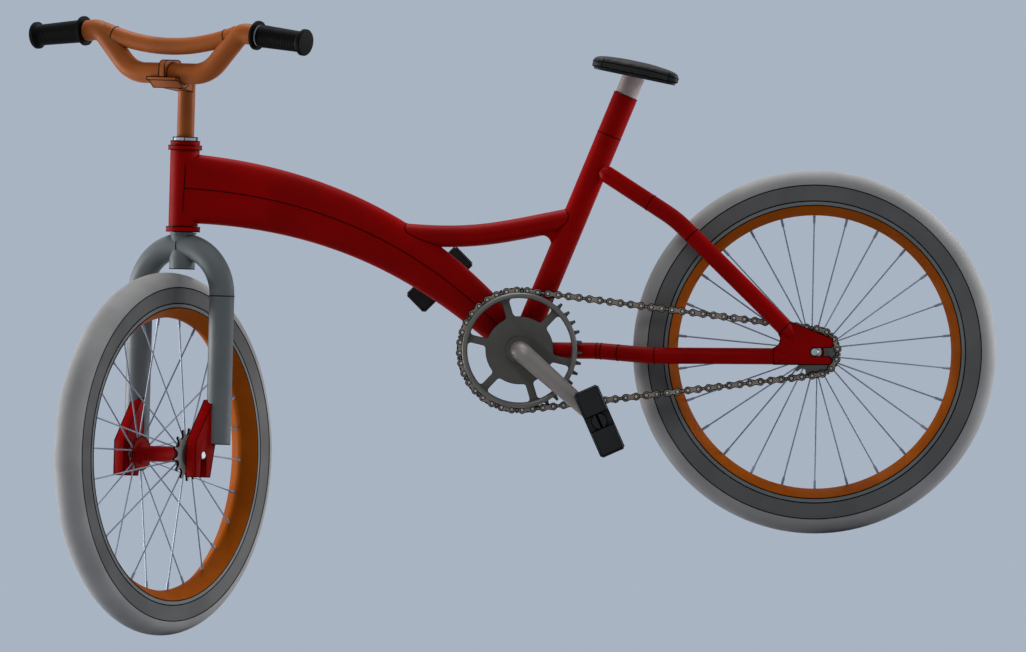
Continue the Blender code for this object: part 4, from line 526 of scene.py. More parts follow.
# %% Tyres
RIM_EDGE = 0.1838
WALL_TOP = 0.2033
TYRE_SIDE = 0.01875
TYRE_INSIDE = 0.01575
TREAD_PRESS = 0.945
BEAD_GAP = 0.0003
BEAD_EDGE = 0.0006
WHEEL_MERGE_GAP = 0.00002


def spin_together(name, wheel_place, *parts):
    """Spun profiles, each with its own finish, joined to one closed piece."""
    pieces = []
    for label, profile, material in parts:
        pieces.append(lathe(label, profile, wheel_place, WHEEL_STEPS))
        pieces[-1].data.materials.append(material)
    made = together(name, *pieces)
    merge_corners(WHEEL_MERGE_GAP)
    return made


def side_lines(end, label, radius, wheel_place, body):
    """The fine joint line on each side of a wheel."""
    for hand, side in SIDES:
        place = wheel_place @ shift(0, 0, hand * TYRE_SIDE)
        dress(fine_ring(f"{end}_{label}_line_{side}", radius, place), body, JOINT_AND_SHADE_LINE)


def make_tyre(end, wheel_place, body):
    crown = [(WALL_TOP + reach * TREAD_PRESS, level)
             for reach, level in arc(TYRE_SIDE, pi / 2, -pi / 2, 25)[1:-1]]
    tread_line = [(WALL_TOP, TYRE_SIDE), *crown, (WALL_TOP, -TYRE_SIDE)]
    foot = RIM_EDGE + BEAD_GAP
    wall = [(WALL_TOP, TYRE_SIDE), (foot + BEAD_EDGE, TYRE_SIDE), (foot, TYRE_SIDE - BEAD_EDGE),
            (foot, TYRE_INSIDE)]
    inside = arc(TYRE_INSIDE, pi / 2, -pi / 2, 13, (WALL_TOP, 0))
    tyre = spin_together(end + "_tyre_rubber", wheel_place,
                         ("walls", [*wall, *inside, *flipped(wall)], WALL_RUBBER),
                         ("tread", tread_line, CROWN_RUBBER))
    dress(tyre, body, None, [end + "_tyre"])
    for label, radius in (("tread", WALL_TOP), ("bead", RIM_EDGE)):
        side_lines(end, label, radius, wheel_place, body)
    return tyre


for end, place, body in WHEELS:
    print(make_tyre(end, place, body).name, "made")

# %% [markdown]
# ## Rims
#
# The rim is a rolled steel channel: a flat grey side wall that the tyre sits against, and below it
# two sloping faces that come together at the spoke bed. The orange paint starts at the edge under
# the side wall. A bevelled ring could come near it, but the strip is rolled to a profile, so the
# same profile is spun, with its small round corners.

# %% Rims
RIM_SHOULDER = 0.1786
RIM_BED = 0.1663
# Half of each profile as (radius, level), from the shoulder down, and mirrored below.
ORANGE_HALF = [(RIM_SHOULDER, TYRE_SIDE), (0.1776, TYRE_SIDE), (0.1771, 0.0184), (0.1667, 0.0036),
               (RIM_BED, 0.0028)]
GREY_HALF = [(RIM_SHOULDER, TYRE_SIDE), (RIM_EDGE - 0.0003, TYRE_SIDE),
             (RIM_EDGE, TYRE_SIDE - 0.0003), (RIM_EDGE, 0.0164), (0.1745, 0.0080)]


def make_rim(end, wheel_place, body):
    rim = spin_together(end + "_rim_channel", wheel_place,
                        ("wedge", ORANGE_HALF + flipped(ORANGE_HALF), ORANGE_ENAMEL),
                        ("sides", GREY_HALF + flipped(GREY_HALF), RIM_GREY))
    dress(rim, body, None, [end + "_rim"])
    side_lines(end, "paint", RIM_SHOULDER, wheel_place, body)
    return rim


for end, place, body in WHEELS:
    print(make_rim(end, place, body).name, "made")

# %% [markdown]
# ## Hubs
#
# The hub shell is turned steel with a tall flange at each end, drilled for thirteen spokes a side.
# It is spun from its profile. The holes could be cut with a boolean, which would leave thin faces
# all round the flange, and at this size only the dark rim of each hole is seen, so a small ring
# is laid at each place.

# %% Hubs
HUB_FACE = 0.0339
HUB_FLANGE = 0.0026
HUB_BACK = HUB_FACE - HUB_FLANGE
HUB_FLANGE_RADIUS = 0.0205
HUB_EDGE = 0.0004
SPOKES = 26
SPOKE_PHASE = 1.419
SPOKE_CIRCLE = 0.0178
# The hub's profile as (radius, level): its end, one flange down to the waist, and the bore.
HUB_END = [(0.0093, 0.0409), (0.0112, 0.0409), (0.0115, 0.0406), (0.0115, HUB_FACE)]
HUB_FLANGE_LINE = [(0.0201, HUB_FACE), (HUB_FLANGE_RADIUS, HUB_FACE - HUB_EDGE),
                   (HUB_FLANGE_RADIUS, HUB_BACK + HUB_EDGE), (0.0201, HUB_BACK),
                   (0.0135, HUB_BACK), (0.0122, HUB_BACK - 0.0014), (0.0104, 0.0268),
                   (0.0096, 0.0252)]
HUB_BORE = [(0.0093, -HUB_FACE), (0.0093, -0.0279), (0.0060, -0.0279), (0.0060, 0.0279),
            (0.0093, 0.0279)]


def polar(radius, angle):
    return Vector((radius * cos(angle), radius * sin(angle)))


def make_hub(end, wheel_place, body):
    shell_line = closed([*HUB_END, *HUB_FLANGE_LINE, *flipped(HUB_FLANGE_LINE), *HUB_BORE])
    hub = lathe(end + "_hub_shell", shell_line, wheel_place, 48)
    dress_red(hub, end + "_hub_and_spokes", body=body)
    lines = []
    for i in range(SPOKES):
        spot = polar(SPOKE_CIRCLE, SPOKE_PHASE + i * 2 * pi / SPOKES)
        level = HUB_FACE if i % 2 == 0 else -HUB_FACE
        lines.append(fine_ring("hole", 0.0017, wheel_place @ shift(spot.x, spot.y, level),
                               0.0005, 12, 5))
    for level in (HUB_FACE, HUB_BACK, -HUB_BACK, -HUB_FACE):
        lines.append(fine_ring("flange_edge", HUB_FLANGE_RADIUS - 0.0001,
                               wheel_place @ shift(0, 0, level), 0.0006, 48, 5))
    dress(together(end + "_flange_holes", *lines), body, JOINT_AND_SHADE_LINE)
    return hub


for end, place, body in WHEELS:
    print(make_hub(end, place, body).name, "made")

# %% [markdown]
# ## Spokes
#
# Each spoke is drawn wire with a bent head at the flange and a nipple at the rim. Thin cylinders
# would do for the wire alone. A curve with a round bevel follows the bent head as well, so the wire
# is swept along its line. One spoke is modelled along its own length and copied to the twenty-six
# places, leaning in turn to one side and the other.

# %% Sweeping a tube along a line
def from_curve(name, lines, factors=None, cyclic=False, **settings):
    """A mesh made from a curve with these settings; factors thicken or thin it along its lines."""
    curve = bpy.data.curves.new(name, "CURVE")
    for setting, value in settings.items():
        setattr(curve, setting, value)
    for points in lines:
        line = curve.splines.new("POLY")
        line.points.add(len(points) - 1)
        line.use_cyclic_u = cyclic
        for i, spot in enumerate(points):
            line.points[i].co = (*Vector(spot).to_3d(), 1)
            line.points[i].radius = factors[i] if factors else 1
    take_up(add_object(name, curve))
    bpy.ops.object.convert(target="MESH")
    return bpy.context.object


def sweep(name, path, radius, place=Matrix.Identity(4), radii=None, sides=10):
    """A round tube along a line of points, with its ends closed."""
    factors = [size / radius for size in radii] if radii else None
    piece = from_curve(name, [path], factors, dimensions="3D", bevel_depth=radius,
                       bevel_resolution=sides, use_fill_caps=True)
    merge_corners()
    return bake(piece, place)


print("sweep ready")

# %% Spokes
SPOKE_LEAN = radians(10)
SPOKE_RADIUS = 0.00095
SPOKE_TOP = 0.1668
SPOKE_TOP_LEVEL = 0.0012
# The bent head as (x, y, z), with the spoke's straight length along z.
SPOKE_HEAD = [(0.0022, 0, 0.0004), (0.0009, 0, 0.0002), (0.0002, 0, 0.0009), (0, 0, 0.0022)]
# The nipple as (radius, distance from the rim's end).
NIPPLE = [(0, 0.0105), (0.0014, 0.0105), (0.0017, 0.0095), (0.0017, 0.0010), (0, 0.0010)]


def make_spoke(length):
    """One spoke along z, its head at 0 and its nipple at the far end."""
    wire = sweep("wire", [*SPOKE_HEAD, (0, 0, length)], SPOKE_RADIUS, sides=2)
    nipple = lathe("nipple", [(radius, length - down) for radius, down in NIPPLE],
                   Matrix.Identity(4), 8)
    return together("spoke", wire, nipple)


def copies_of(model, places):
    """A copy of the model at each place, each with its own mesh."""
    return [bake(add_object(model.name + "_copy", model.data.copy()), place) for place in places]


def make_spokes(end, wheel_place, body):
    ends = []
    for i in range(SPOKES):
        hand = 1 if i % 2 == 0 else -1
        lean = SPOKE_LEAN if (i // 2) % 2 == 0 else -SPOKE_LEAN
        angle = SPOKE_PHASE + i * 2 * pi / SPOKES
        foot = Vector((*polar(SPOKE_CIRCLE, angle + lean), hand * (HUB_FACE - HUB_FLANGE / 2)))
        ends.append((foot, Vector((*polar(SPOKE_TOP, angle), hand * SPOKE_TOP_LEVEL))))
    model = make_spoke((ends[0][1] - ends[0][0]).length)
    copies = copies_of(model, [wheel_place @ Matrix.Translation(foot) @ facing(top - foot)
                               for foot, top in ends])
    bpy.data.objects.remove(model)
    return dress(together(end + "_spokes", *copies), body, SPOKE_STEEL)


for end, place, body in WHEELS:
    print(make_spokes(end, place, body).name, SPOKES, "spokes")

# %% [markdown]
# ## Axles
#
# An axle is a turned bar with a cone at each side that the hub's balls run on. A few stacked
# cylinders would show their joints, so it is spun from half of its profile, mirrored.

# %% Axles
AXLE_RADIUS = 0.0050


def make_axle(end, wheel_place, body, half, inner):
    """Half is the axle's half length, inner the place where its locknut ends."""
    line = [(0, half), (0.0042, half), (AXLE_RADIUS, half - 0.0008), (AXLE_RADIUS, inner),
            (0.0085, inner), (0.0085, 0.0363), (0.0059, 0.0359), (0.0059, 0.0282),
            (AXLE_RADIUS, 0.0282)]
    axle = lathe(end + "_axle_spindle", line + flipped(line), wheel_place, 32)
    return dress(axle, body, BRIGHT_STEEL, [end + "_axle"])


print(make_axle("front", FRONT_WHEEL, "fork_assembly", 0.0599, 0.0456).name)
print(make_axle("rear", REAR_WHEEL, "frame", 0.0630, 0.0547).name)

# %% [markdown]
# ## Chain
#
# A bicycle chain is two kinds of link in turn. The outer one is a pair of plates held by two
# riveted pins, and the inner one is a pair of plates on two rollers. The plates are stamped, with
# a waist in the middle. Their edges and the ring round each pin are darkened with painted shade.
# An array along a curve could lay the links, but it would stretch them to fit. Here the pins
# follow the pitch circles of the two toothed wheels and the straight runs between them at their
# true pitch, and both links are modelled once and copied between the pins, so they fit the teeth.

# %% The chain's route
CHAIN_PITCH = 0.0127
CHAIN_LINKS = 82
CHAINLINE = 0.037
RING_PITCH = 0.072766
SPROCKET_PITCH = 0.028298
CHAIN_LEAN = asin((RING_PITCH - SPROCKET_PITCH) / CENTRES)
CHAIN_RUN = CENTRES * cos(CHAIN_LEAN)


def chain_pin(place):
    """Where a pin is, counted in links along the chain, in the plane of the chain."""
    upper, lower = REAR_SLOPE - CHAIN_LEAN, REAR_SLOPE + CHAIN_LEAN
    rear = polar(CENTRES, REAR_SLOPE)
    round_sprocket = SPROCKET_PITCH * (pi - 2 * CHAIN_LEAN)
    distance = place * CHAIN_PITCH
    if distance < CHAIN_RUN:
        return polar(RING_PITCH, upper + pi / 2) + polar(distance, upper)
    distance -= CHAIN_RUN
    if distance < round_sprocket:
        return rear + polar(SPROCKET_PITCH, upper + pi / 2 - distance / SPROCKET_PITCH)
    distance -= round_sprocket
    if distance < CHAIN_RUN:
        return rear + polar(SPROCKET_PITCH, lower - pi / 2) - polar(distance, lower)
    distance -= CHAIN_RUN
    return polar(RING_PITCH, lower - pi / 2 - distance / RING_PITCH)


PINS = [chain_pin(i) for i in range(CHAIN_LINKS)]
print("pins", len(PINS), "last gap mm", round((PINS[-1] - PINS[0]).length * 1000, 2))

# %% Stamping a flat part
def stamp(name, outlines, thickness, place, edge):
    """A flat part with its holes, cut from sheet, its thickness along z and its edges rounded."""
    piece = from_curve(name, outlines, cyclic=True, dimensions="2D", fill_mode="BOTH",
                       extrude=thickness / 2 - edge, bevel_depth=edge, bevel_resolution=1,
                       offset=-edge)
    merge_corners(outwards=False)
    return bake(piece, place)


print("stamp ready")

# %% The two links
PLATE_END = 0.0050
PLATE_WAIST = 0.0031
# How far the painted shade reaches in from each chain plate's edge.
PAINTED_SHADE_EDGE = 0.0011
OUTER_LEVEL, INNER_LEVEL = 0.0031, 0.0019
INNER_SIZE = 0.66
PIN_END = 0.0037
PIN = [(0, -0.0041), (0.0014, -0.0041), (0.0019, -PIN_END), (0.0019, PIN_END), (0.0014, 0.0041),
       (0, 0.0041)]
ROLLER = [(0, -0.0014), (0.00385, -0.0014), (0.00385, 0.0014), (0, 0.0014)]


def plate_outline(end_radius, waist):
    half, reach = CHAIN_PITCH / 2, radians(125)
    right = arc(end_radius, -reach, reach, 9, (half, 0))
    left = arc(end_radius, pi - reach, pi + reach, 9, (-half, 0))
    return [*right, (0, waist), *left, (0, -waist)]


def make_link(outer):
    """Two plates on their pins: a dark plate whose rim is painted shade, a face on it, and a ring
    of painted shade at each pin.
    """
    level, size = (OUTER_LEVEL, 1.0) if outer else (INNER_LEVEL, INNER_SIZE)
    end, waist = PLATE_END * size, PLATE_WAIST * size
    parts = []
    for hand in (1, -1):
        # Each plate is a dark plate, whose rim shows as painted shade, under a smaller face.
        back = stamp("plate", [plate_outline(end, waist)], 0.0010, shift(0, 0, hand * level),
                     0.0002)
        back.data.materials.append(JOINT_AND_SHADE_LINE)
        face = stamp("face", [plate_outline(end - PAINTED_SHADE_EDGE, waist - PAINTED_SHADE_EDGE)], 0.0005,
                     shift(0, 0, hand * (level + 0.0005)), 0.0001)
        face.data.materials.append(CHAIN_STEEL)
        parts += [back, face]
    for x in (-CHAIN_PITCH / 2, CHAIN_PITCH / 2):
        if outer:
            pin = lathe("pin", PIN, shift(x, 0, 0), 10)
            pin.data.materials.append(PIN_STEEL)
            # A dark ring round each pin's head is painted shade.
            for height in (PIN_END, -PIN_END):
                collar = fine_ring("collar", 0.0025, shift(x, 0, height), 0.00065, 12, 4)
                collar.data.materials.append(JOINT_AND_SHADE_LINE)
                parts.append(collar)
        else:
            pin = lathe("roller", ROLLER, shift(x, 0, 0), 12)
            pin.data.materials.append(SPROCKET_STEEL)
        parts.append(pin)
    return together("link", *parts)


LINKS = [make_link(True), make_link(False)]
print("faces a link", [len(link.data.polygons) for link in LINKS])

# %% The whole chain
def make_chain():
    copies = []
    for i, here in enumerate(PINS):
        there = PINS[(i + 1) % CHAIN_LINKS]
        way, middle = there - here, (here + there) / 2
        turn = Matrix.Rotation(atan2(way.y, way.x), 4, "Z")
        place = BRACKET_PLACE @ shift(middle.x, middle.y, CHAINLINE) @ turn
        copies += copies_of(LINKS[i % 2], [place])
    for link in LINKS:
        bpy.data.objects.remove(link)
    return dress(together("chain_links", *copies), "frame", None, ["chain"])


chain = make_chain()
print("chain", len(chain.data.polygons), "faces")

# %% [markdown]
# ## Chainring, guard and sprockets
#
# The toothed wheels are stamped from sheet. Teeth could be extruded one by one from a ring, but
# a stamping is all one outline. So each gap between two teeth is drawn as a seat for a roller, cut
# to the roller's own radius on the pitch circle, and the teeth stand between the seats. The
# chainring has six windows, and a rolled ring in front of it keeps trouser legs off the teeth.

# %% Toothed outlines
SEAT_RADIUS = 0.0041
SEAT_REACH = radians(68)
TOOTH_HEIGHT = 0.0038
TOOTH_TIP = 0.0030
SHEET = 0.0028
SHEET_EDGE = 0.0006


def toothed(teeth, pitch_radius, phase):
    """The outline of a toothed wheel with a roller seat at the given angle."""
    tip_radius = pitch_radius + TOOTH_HEIGHT
    reach = TOOTH_TIP / 2 / tip_radius
    points = []
    for i in range(teeth):
        middle = phase + i * 2 * pi / teeth
        centre = tuple(polar(pitch_radius, middle))
        points += arc(SEAT_RADIUS, middle + pi + SEAT_REACH, middle + pi - SEAT_REACH, 5, centre)
        crest = middle + pi / teeth
        points += [tuple(polar(tip_radius, crest + side)) for side in (-reach, reach)]
    return points


print("a tooth is", TOOTH_HEIGHT * 1000, "mm high over the pitch circle")

# %% The chainring's windows
WINDOW_RIM = 0.0635
WINDOW_DISC = 0.0415
WINDOW_CORNER = 0.0045
ARM_HALF = 0.00475
WINDOW_PHASE = 0.48869


def soft_corner(start, corner, end):
    """A round corner between two points."""
    return [tuple(start.lerp(corner, t).lerp(corner.lerp(end, t), t))
            for t in (0, 0.25, 0.5, 0.75, 1)]


def ring_window(middle):
    """One window of the chainring, between two arms, with round corners."""
    points = []
    for radius, hand, count in ((WINDOW_RIM, 1, 9), (WINDOW_DISC, -1, 7)):
        side = radius - hand * WINDOW_CORNER
        side_reach = pi / 6 - asin(ARM_HALF / side)
        reach = pi / 6 - asin(ARM_HALF / radius) - WINDOW_CORNER / radius
        first, last = middle - hand * side_reach, middle + hand * side_reach
        outer = arc(radius, middle - hand * reach, middle + hand * reach, count)
        points += soft_corner(polar(side, first), polar(radius, first), Vector(outer[0]))
        points += outer[1:-1]
        points += soft_corner(Vector(outer[-1]), polar(radius, last), polar(side, last))
    return points


WINDOWS = [ring_window(WINDOW_PHASE + (i + 0.5) * pi / 3) for i in range(6)]
print(len(WINDOWS), "windows")

# %% Chainring and guard
GUARD_ROLL = 0.0033
GUARD_CENTRE = (0.067066, 0.04341)
GUARD_FOOT = [(0.0638, 0.0387), (0.0679, 0.0387), (0.0682, 0.0403)]


def darken_rim(piece, axis):
    """Gives the faces that don't lie square to the axis, such as a cut edge, a dark finish."""
    piece.data.materials.append(JOINT_AND_SHADE_LINE)
    for face in piece.data.polygons:
        face.material_index = 1 if abs(face.normal.dot(axis)) < 0.97 else 0


def round_hole(radius):
    return arc(radius, 0, 2 * pi * 31 / 32, 32)


def nearest_pin(spot):
    return min(PINS, key=lambda pin: (pin - spot).length)


ring_seat = nearest_pin(Vector((-RING_PITCH, 0)))
ring_phase = atan2(ring_seat.y, ring_seat.x) - CRANK_ANGLE
chainring = stamp("chainring_sheet",
                  [toothed(36, RING_PITCH, ring_phase), *WINDOWS, round_hole(0.0120)], SHEET,
                  CRANK @ shift(0, 0, CHAINLINE), SHEET_EDGE)
dress(chainring, "crankset", DARK_STEEL, ["chainring"])
darken_rim(chainring, Vector((0, 1, 0)))

guard_crown = arc(GUARD_ROLL, -radians(70), radians(250), 15, GUARD_CENTRE)
guard = lathe("guard_ring_rolled", closed([*GUARD_FOOT, *guard_crown]), CRANK, WHEEL_STEPS)
dress(guard, "crankset", GUARD_STEEL, ["guard_ring"])
print("chainring", len(chainring.data.polygons), "faces, guard", len(guard.data.polygons))

# %% Sprockets
SPROCKET_BORE = 0.0119
rear_centre = polar(CENTRES, REAR_SLOPE)
rear_seat = nearest_pin(rear_centre + Vector((SPROCKET_PITCH, 0))) - rear_centre
sprocket_phase = atan2(rear_seat.y, rear_seat.x)
for end, place, body, steel in (("front", FRONT_WHEEL, "front_wheel", ZINC_STEEL),
                                ("rear", REAR_WHEEL, "rear_driver", SPROCKET_STEEL)):
    outlines = [toothed(14, SPROCKET_PITCH, sprocket_phase), round_hole(SPROCKET_BORE)]
    sprocket = stamp(end + "_sprocket_sheet", outlines, SHEET, place @ shift(0, 0, CHAINLINE),
                     SHEET_EDGE)
    dress(sprocket, body, steel, [end + "_sprocket"])
    darken_rim(sprocket, place.to_3x3() @ Vector((0, 0, 1)))
    collar_line = soft_ring(SPROCKET_BORE, 0.0160, CHAINLINE + 0.0012, CHAINLINE + 0.0026, 0.0004)
    collar = lathe(end + "_sprocket_collar", collar_line, place, 32)
    dress(collar, body, SPROCKET_STEEL)
print("sprockets made")

# %% [markdown]
# ## Main tube
#
# The main tube is two pressed half shells, deep at the head tube and shallow at the bracket, welded
# along a line on each side. Its section is nearly flat-sided at the head tube and soon becomes an
# oval. A curve can thin one section along its way but can't change it to another, and no single
# modifier does. So each section is placed on the bent centre line and the faces between them are
# drawn. What would lie inside the head tube and the bracket is cut away.

# %% Sections of the main tube
MAIN_HALF_WIDTH = 0.018
MAIN_HEAD_HALF = 0.0425
MAIN_FOOT_HALF = 0.0200
MAIN_ROWS, MAIN_SIDES = 60, 48
HEAD_MIDDLE = 0.0465
FOOT_LIFT = 0.0063
# At its head and at its foot: the tube's slope, and how far that slope pulls, as a share.
MAIN_SLOPES = radians(-12), radians(-52)
MAIN_PULLS = 0.533, 0.178
# How full the section's corners are, 0 for square and 1 for round, and where that settles.
HEAD_FULLNESS = 0.42
FULLNESS = 0.96
FULL_AFTER = 0.16


def bezier(start, start_way, start_pull, end, end_way, end_pull, count):
    """A smooth line in the frame's middle plane, from its ends' places, directions and pulls."""
    first = start + Vector((cos(start_way), 0, sin(start_way))) * start_pull
    second = end - Vector((cos(end_way), 0, sin(end_way))) * end_pull
    points = []
    for i in range(count):
        t = i / (count - 1)
        points.append(start * (1 - t) ** 3 + first * (3 * t * (1 - t) ** 2)
                      + second * (3 * t * t * (1 - t)) + end * t ** 3)
    return points


def main_tube_line(count=MAIN_ROWS):
    head = HEAD_FOOT + HEAD_AXIS * HEAD_MIDDLE
    foot = BRACKET + Vector((0, 0, FOOT_LIFT))
    span = (head - foot).length
    return bezier(head, MAIN_SLOPES[0], span * MAIN_PULLS[0],
                  foot, MAIN_SLOPES[1], span * MAIN_PULLS[1], count)


def main_tube_half(share):
    return MAIN_HEAD_HALF + (MAIN_FOOT_HALF - MAIN_HEAD_HALF) * share


def main_tube_rows():
    """Rows of points round the tube: nearly square at the head tube, then close to an oval."""
    line = main_tube_line()
    rows = []
    for i, centre in enumerate(line):
        along = (line[min(i + 1, MAIN_ROWS - 1)] - line[max(i - 1, 0)]).normalized()
        upward = Vector((-along.z, 0, along.x)) * main_tube_half(i / (MAIN_ROWS - 1))
        square = max(0, 1 - i / (MAIN_ROWS * FULL_AFTER)) ** 1.5
        full = FULLNESS + (HEAD_FULLNESS - FULLNESS) * square
        row = []
        for j in range(MAIN_SIDES):
            high, wide = sin(j * 2 * pi / MAIN_SIDES), cos(j * 2 * pi / MAIN_SIDES)
            row.append(centre + upward * copysign(abs(high) ** full, high)
                       + Vector((0, -MAIN_HALF_WIDTH, 0)) * copysign(abs(wide) ** full, wide))
        rows.append(row)
    return rows


print("main tube", round(MAIN_HEAD_HALF * 2000), "mm deep at the head tube")

# %% Main tube
HEAD_TUBE_RADIUS = 0.017857
BRACKET_RADIUS = 0.0285
TRIM_DEPTH = 0.0006


def loft(name, rows):
    """A closed shape through rows of points, each row with the same count."""
    shape = bmesh.new()
    rows = [[shape.verts.new(spot) for spot in row] for row in rows]
    for row, after in zip(rows, rows[1:]):
        for j, corner in enumerate(row):
            beyond = (j + 1) % len(row)
            shape.faces.new((corner, row[beyond], after[beyond], after[j]))
    shape.faces.new(rows[0])
    shape.faces.new(rows[-1])
    bmesh.ops.recalc_face_normals(shape, faces=shape.faces)
    mesh = bpy.data.meshes.new(name)
    shape.to_mesh(mesh)
    shape.free()
    return add_object(name, mesh)


def trim_inside(piece, spot, way, radius):
    """Takes away what lies inside a tube that the piece is welded to, just under its surface."""
    clear_selection()
    bpy.ops.mesh.primitive_cylinder_add(vertices=48, radius=radius - TRIM_DEPTH, depth=0.4)
    cutter = bake(bpy.context.object, Matrix.Translation(spot) @ facing(way))
    take_up(piece)
    modify(piece, "BOOLEAN", operation="DIFFERENCE", solver="EXACT", object=cutter)
    bpy.data.objects.remove(cutter)
    return piece


main_tube = loft("main_tube_shells", main_tube_rows())
trim_inside(main_tube, HEAD_FOOT + HEAD_AXIS * HEAD_MIDDLE, HEAD_AXIS, HEAD_TUBE_RADIUS)
trim_inside(main_tube, BRACKET, (0, 1, 0), BRACKET_RADIUS)
dress_red(main_tube, "main_tube_upper", "main_tube_lower")
print("main tube", len(main_tube.data.polygons), "faces")

# %% The main tube's seams
SEAM_POINTS = 55
SIDE_FROM = 0.0100


def lay_line(name, path, body, width=SEAM_RADIUS, sides=2):
    """A fine dark joint line along a path on a piece's surface."""
    return dress(sweep(name, path, width, sides=sides), body, JOINT_AND_SHADE_LINE)


for hand, side in SIDES:
    outwards = Vector((0, -hand * MAIN_HALF_WIDTH, 0))
    path = [spot + outwards for spot in main_tube_line()[:SEAM_POINTS]]
    lay_line("main_seam_" + side, path, "frame")
    end_row = [spot for spot in main_tube_rows()[0] if -hand * spot.y > SIDE_FROM]
    end_row.sort(key=lambda spot: spot.z)
    lay_line("main_end_line_" + side, end_row, "frame")
print("main tube's seams laid")

# %% [markdown]
# ## Head tube, seat tube and bracket shell
#
# These are plain round tubes. A cylinder with a hole would do, but a ring spun from its wall's
# section has its edges broken at once. Where one tube runs into another, the real frame has a
# small weld, which the photograph shows as a dark line. Its place isn't a simple curve, so each
# lengthwise line of the first tube is followed until it meets the other one's surface.

# %% Lines at joints and welds
TUBE_SIDES = 40


def seam(name, spot, way, radius, body):
    """The fine dark line round a tube where two lengths of it meet."""
    ring = fine_ring(name, radius, Matrix.Translation(spot) @ facing(way), around=TUBE_SIDES)
    return dress(ring, body, JOINT_AND_SHADE_LINE)


def surface_of(piece):
    return BVHTree.FromPolygons([corner.co for corner in piece.data.vertices],
                                [tuple(face.vertices) for face in piece.data.polygons])


def tube_rows(path, radius):
    """Rows of points round a tube, one row for each point of its path."""
    rows = []
    for i, here in enumerate(path):
        along = (path[min(i + 1, len(path) - 1)] - path[max(i - 1, 0)]).normalized()
        side = along.cross(Vector((0, 1, 0))).normalized()
        upward = side.cross(along)
        turns = [j * 2 * pi / TUBE_SIDES for j in range(TUBE_SIDES)]
        rows.append([here + (side * cos(turn) + upward * sin(turn)) * radius for turn in turns])
    return rows


def weld_line(name, rows, host, body):
    """The line where a tube, given by its rows, runs into its host."""
    surface = surface_of(host)
    loop = []
    for j in range(len(rows[0])):
        for row, after in zip(rows, rows[1:]):
            step = after[j] - row[j]
            hit = surface.ray_cast(row[j], step.normalized(), step.length)[0]
            if hit:
                loop.append(hit)
                break
    if len(loop) < 8:
        print(name, "not found")
        return None
    return lay_line(name, [*loop, loop[0]], body, sides=1)


print("a weld line follows", TUBE_SIDES, "lines of its tube")

# %% Round tubes
SEAT_TUBE_RADIUS = 0.015
SEAT_TUBE_INSIDE = 0.0139

head_tube = lathe("head_tube_ring", soft_ring(0.0155, HEAD_TUBE_RADIUS, 0, 0.093, 0.0004), HEAD)
dress_red(head_tube, "head_tube")
shell = lathe("bracket_shell_ring", soft_ring(0.0257, BRACKET_RADIUS, -0.032, 0.032, 0.0006),
              BRACKET_PLACE)
dress_red(shell, "bracket_shell")
seat_tube = lathe("seat_tube_ring",
                  soft_ring(SEAT_TUBE_INSIDE, SEAT_TUBE_RADIUS, 0.0240, 0.283, 0.0002), SEAT, 48)
trim_inside(seat_tube, BRACKET, (0, 1, 0), BRACKET_RADIUS)
dress_red(seat_tube, "seat_tube")
sleeve = lathe("seat_sleeve_ring",
               soft_ring(SEAT_TUBE_INSIDE, SEAT_TUBE_RADIUS, 0.2833, 0.336, 0.0005), SEAT, 48)
dress_red(sleeve, "seat_tube_sleeve")
seam("sleeve_line", BRACKET + SEAT_AXIS * 0.28315, SEAT_AXIS, 0.0149, "frame")
seam("sleeve_top_line", BRACKET + SEAT_AXIS * 0.3359, SEAT_AXIS, 0.0147, "frame")
downwards = [BRACKET + SEAT_AXIS * (0.120 - 0.006 * i) for i in range(20)]
weld_line("seat_tube_foot_line", tube_rows(downwards, SEAT_TUBE_RADIUS), shell, "frame")
weld_line("main_tube_foot_line", main_tube_rows()[40:], shell, "frame")
print("round tubes made")

# %% [markdown]
# ## Strut
#
# A bent tube ties the main tube to the seat tube, with a small gusset in the corner below it. The
# tube is a circle swept along a smooth line. The gusset could be part of the same mesh, but it is
# a plate on the real frame, so it is stamped and joined on.

# %% Strut and gusset
STRUT_RADIUS = 0.0132
STRUT_SINK = 0.79
STRUT_LEVEL = 0.1743
STRUT_FRONT_WAY, STRUT_WAY = radians(-14), radians(2)
STRUT_PULL = 0.43
GUSSET_BEND = 0.0105
GUSSET_THICK = 0.0130

strut_start = main_tube_line(3)[1] + Vector((0, 0, main_tube_half(0.5) * STRUT_SINK))
strut_end = BRACKET + SEAT_AXIS * STRUT_LEVEL
pull = (strut_end - strut_start).length * STRUT_PULL
strut_line = bezier(strut_start, STRUT_FRONT_WAY, pull, strut_end, STRUT_WAY, pull, 40)
strut = sweep("strut_tube", strut_line, STRUT_RADIUS)

way = Vector((cos(STRUT_WAY), 0, sin(STRUT_WAY)))
down = Vector((sin(STRUT_WAY), 0, -cos(STRUT_WAY)))
inwards = (SEAT_TUBE_RADIUS + STRUT_RADIUS * down.dot(SEAT_ACROSS)) / way.dot(SEAT_ACROSS)
inner_corner = strut_end + down * STRUT_RADIUS - way * inwards
reach = GUSSET_BEND * tan((STRUT_WAY + pi - SEAT_ANGLE) / 2 - STRUT_WAY)
touch, foot = inner_corner - way * reach, inner_corner - SEAT_AXIS * reach
centre = touch + down * GUSSET_BEND
gusset_line = arc(GUSSET_BEND, STRUT_WAY + pi / 2, SEAT_ANGLE - pi / 2, 13, (centre.x, centre.z))
gusset_line += [(spot.x, spot.z) for spot in (foot + SEAT_ACROSS * 0.012, strut_end,
                                              touch - down * 0.010)]
gusset = stamp("gusset_plate", [gusset_line], GUSSET_THICK, SIDEWAYS, 0.0012)
strut = together("strut_and_gusset", strut, gusset)
dress_red(strut, "strut")
strut_rows = tube_rows(strut_line, STRUT_RADIUS)
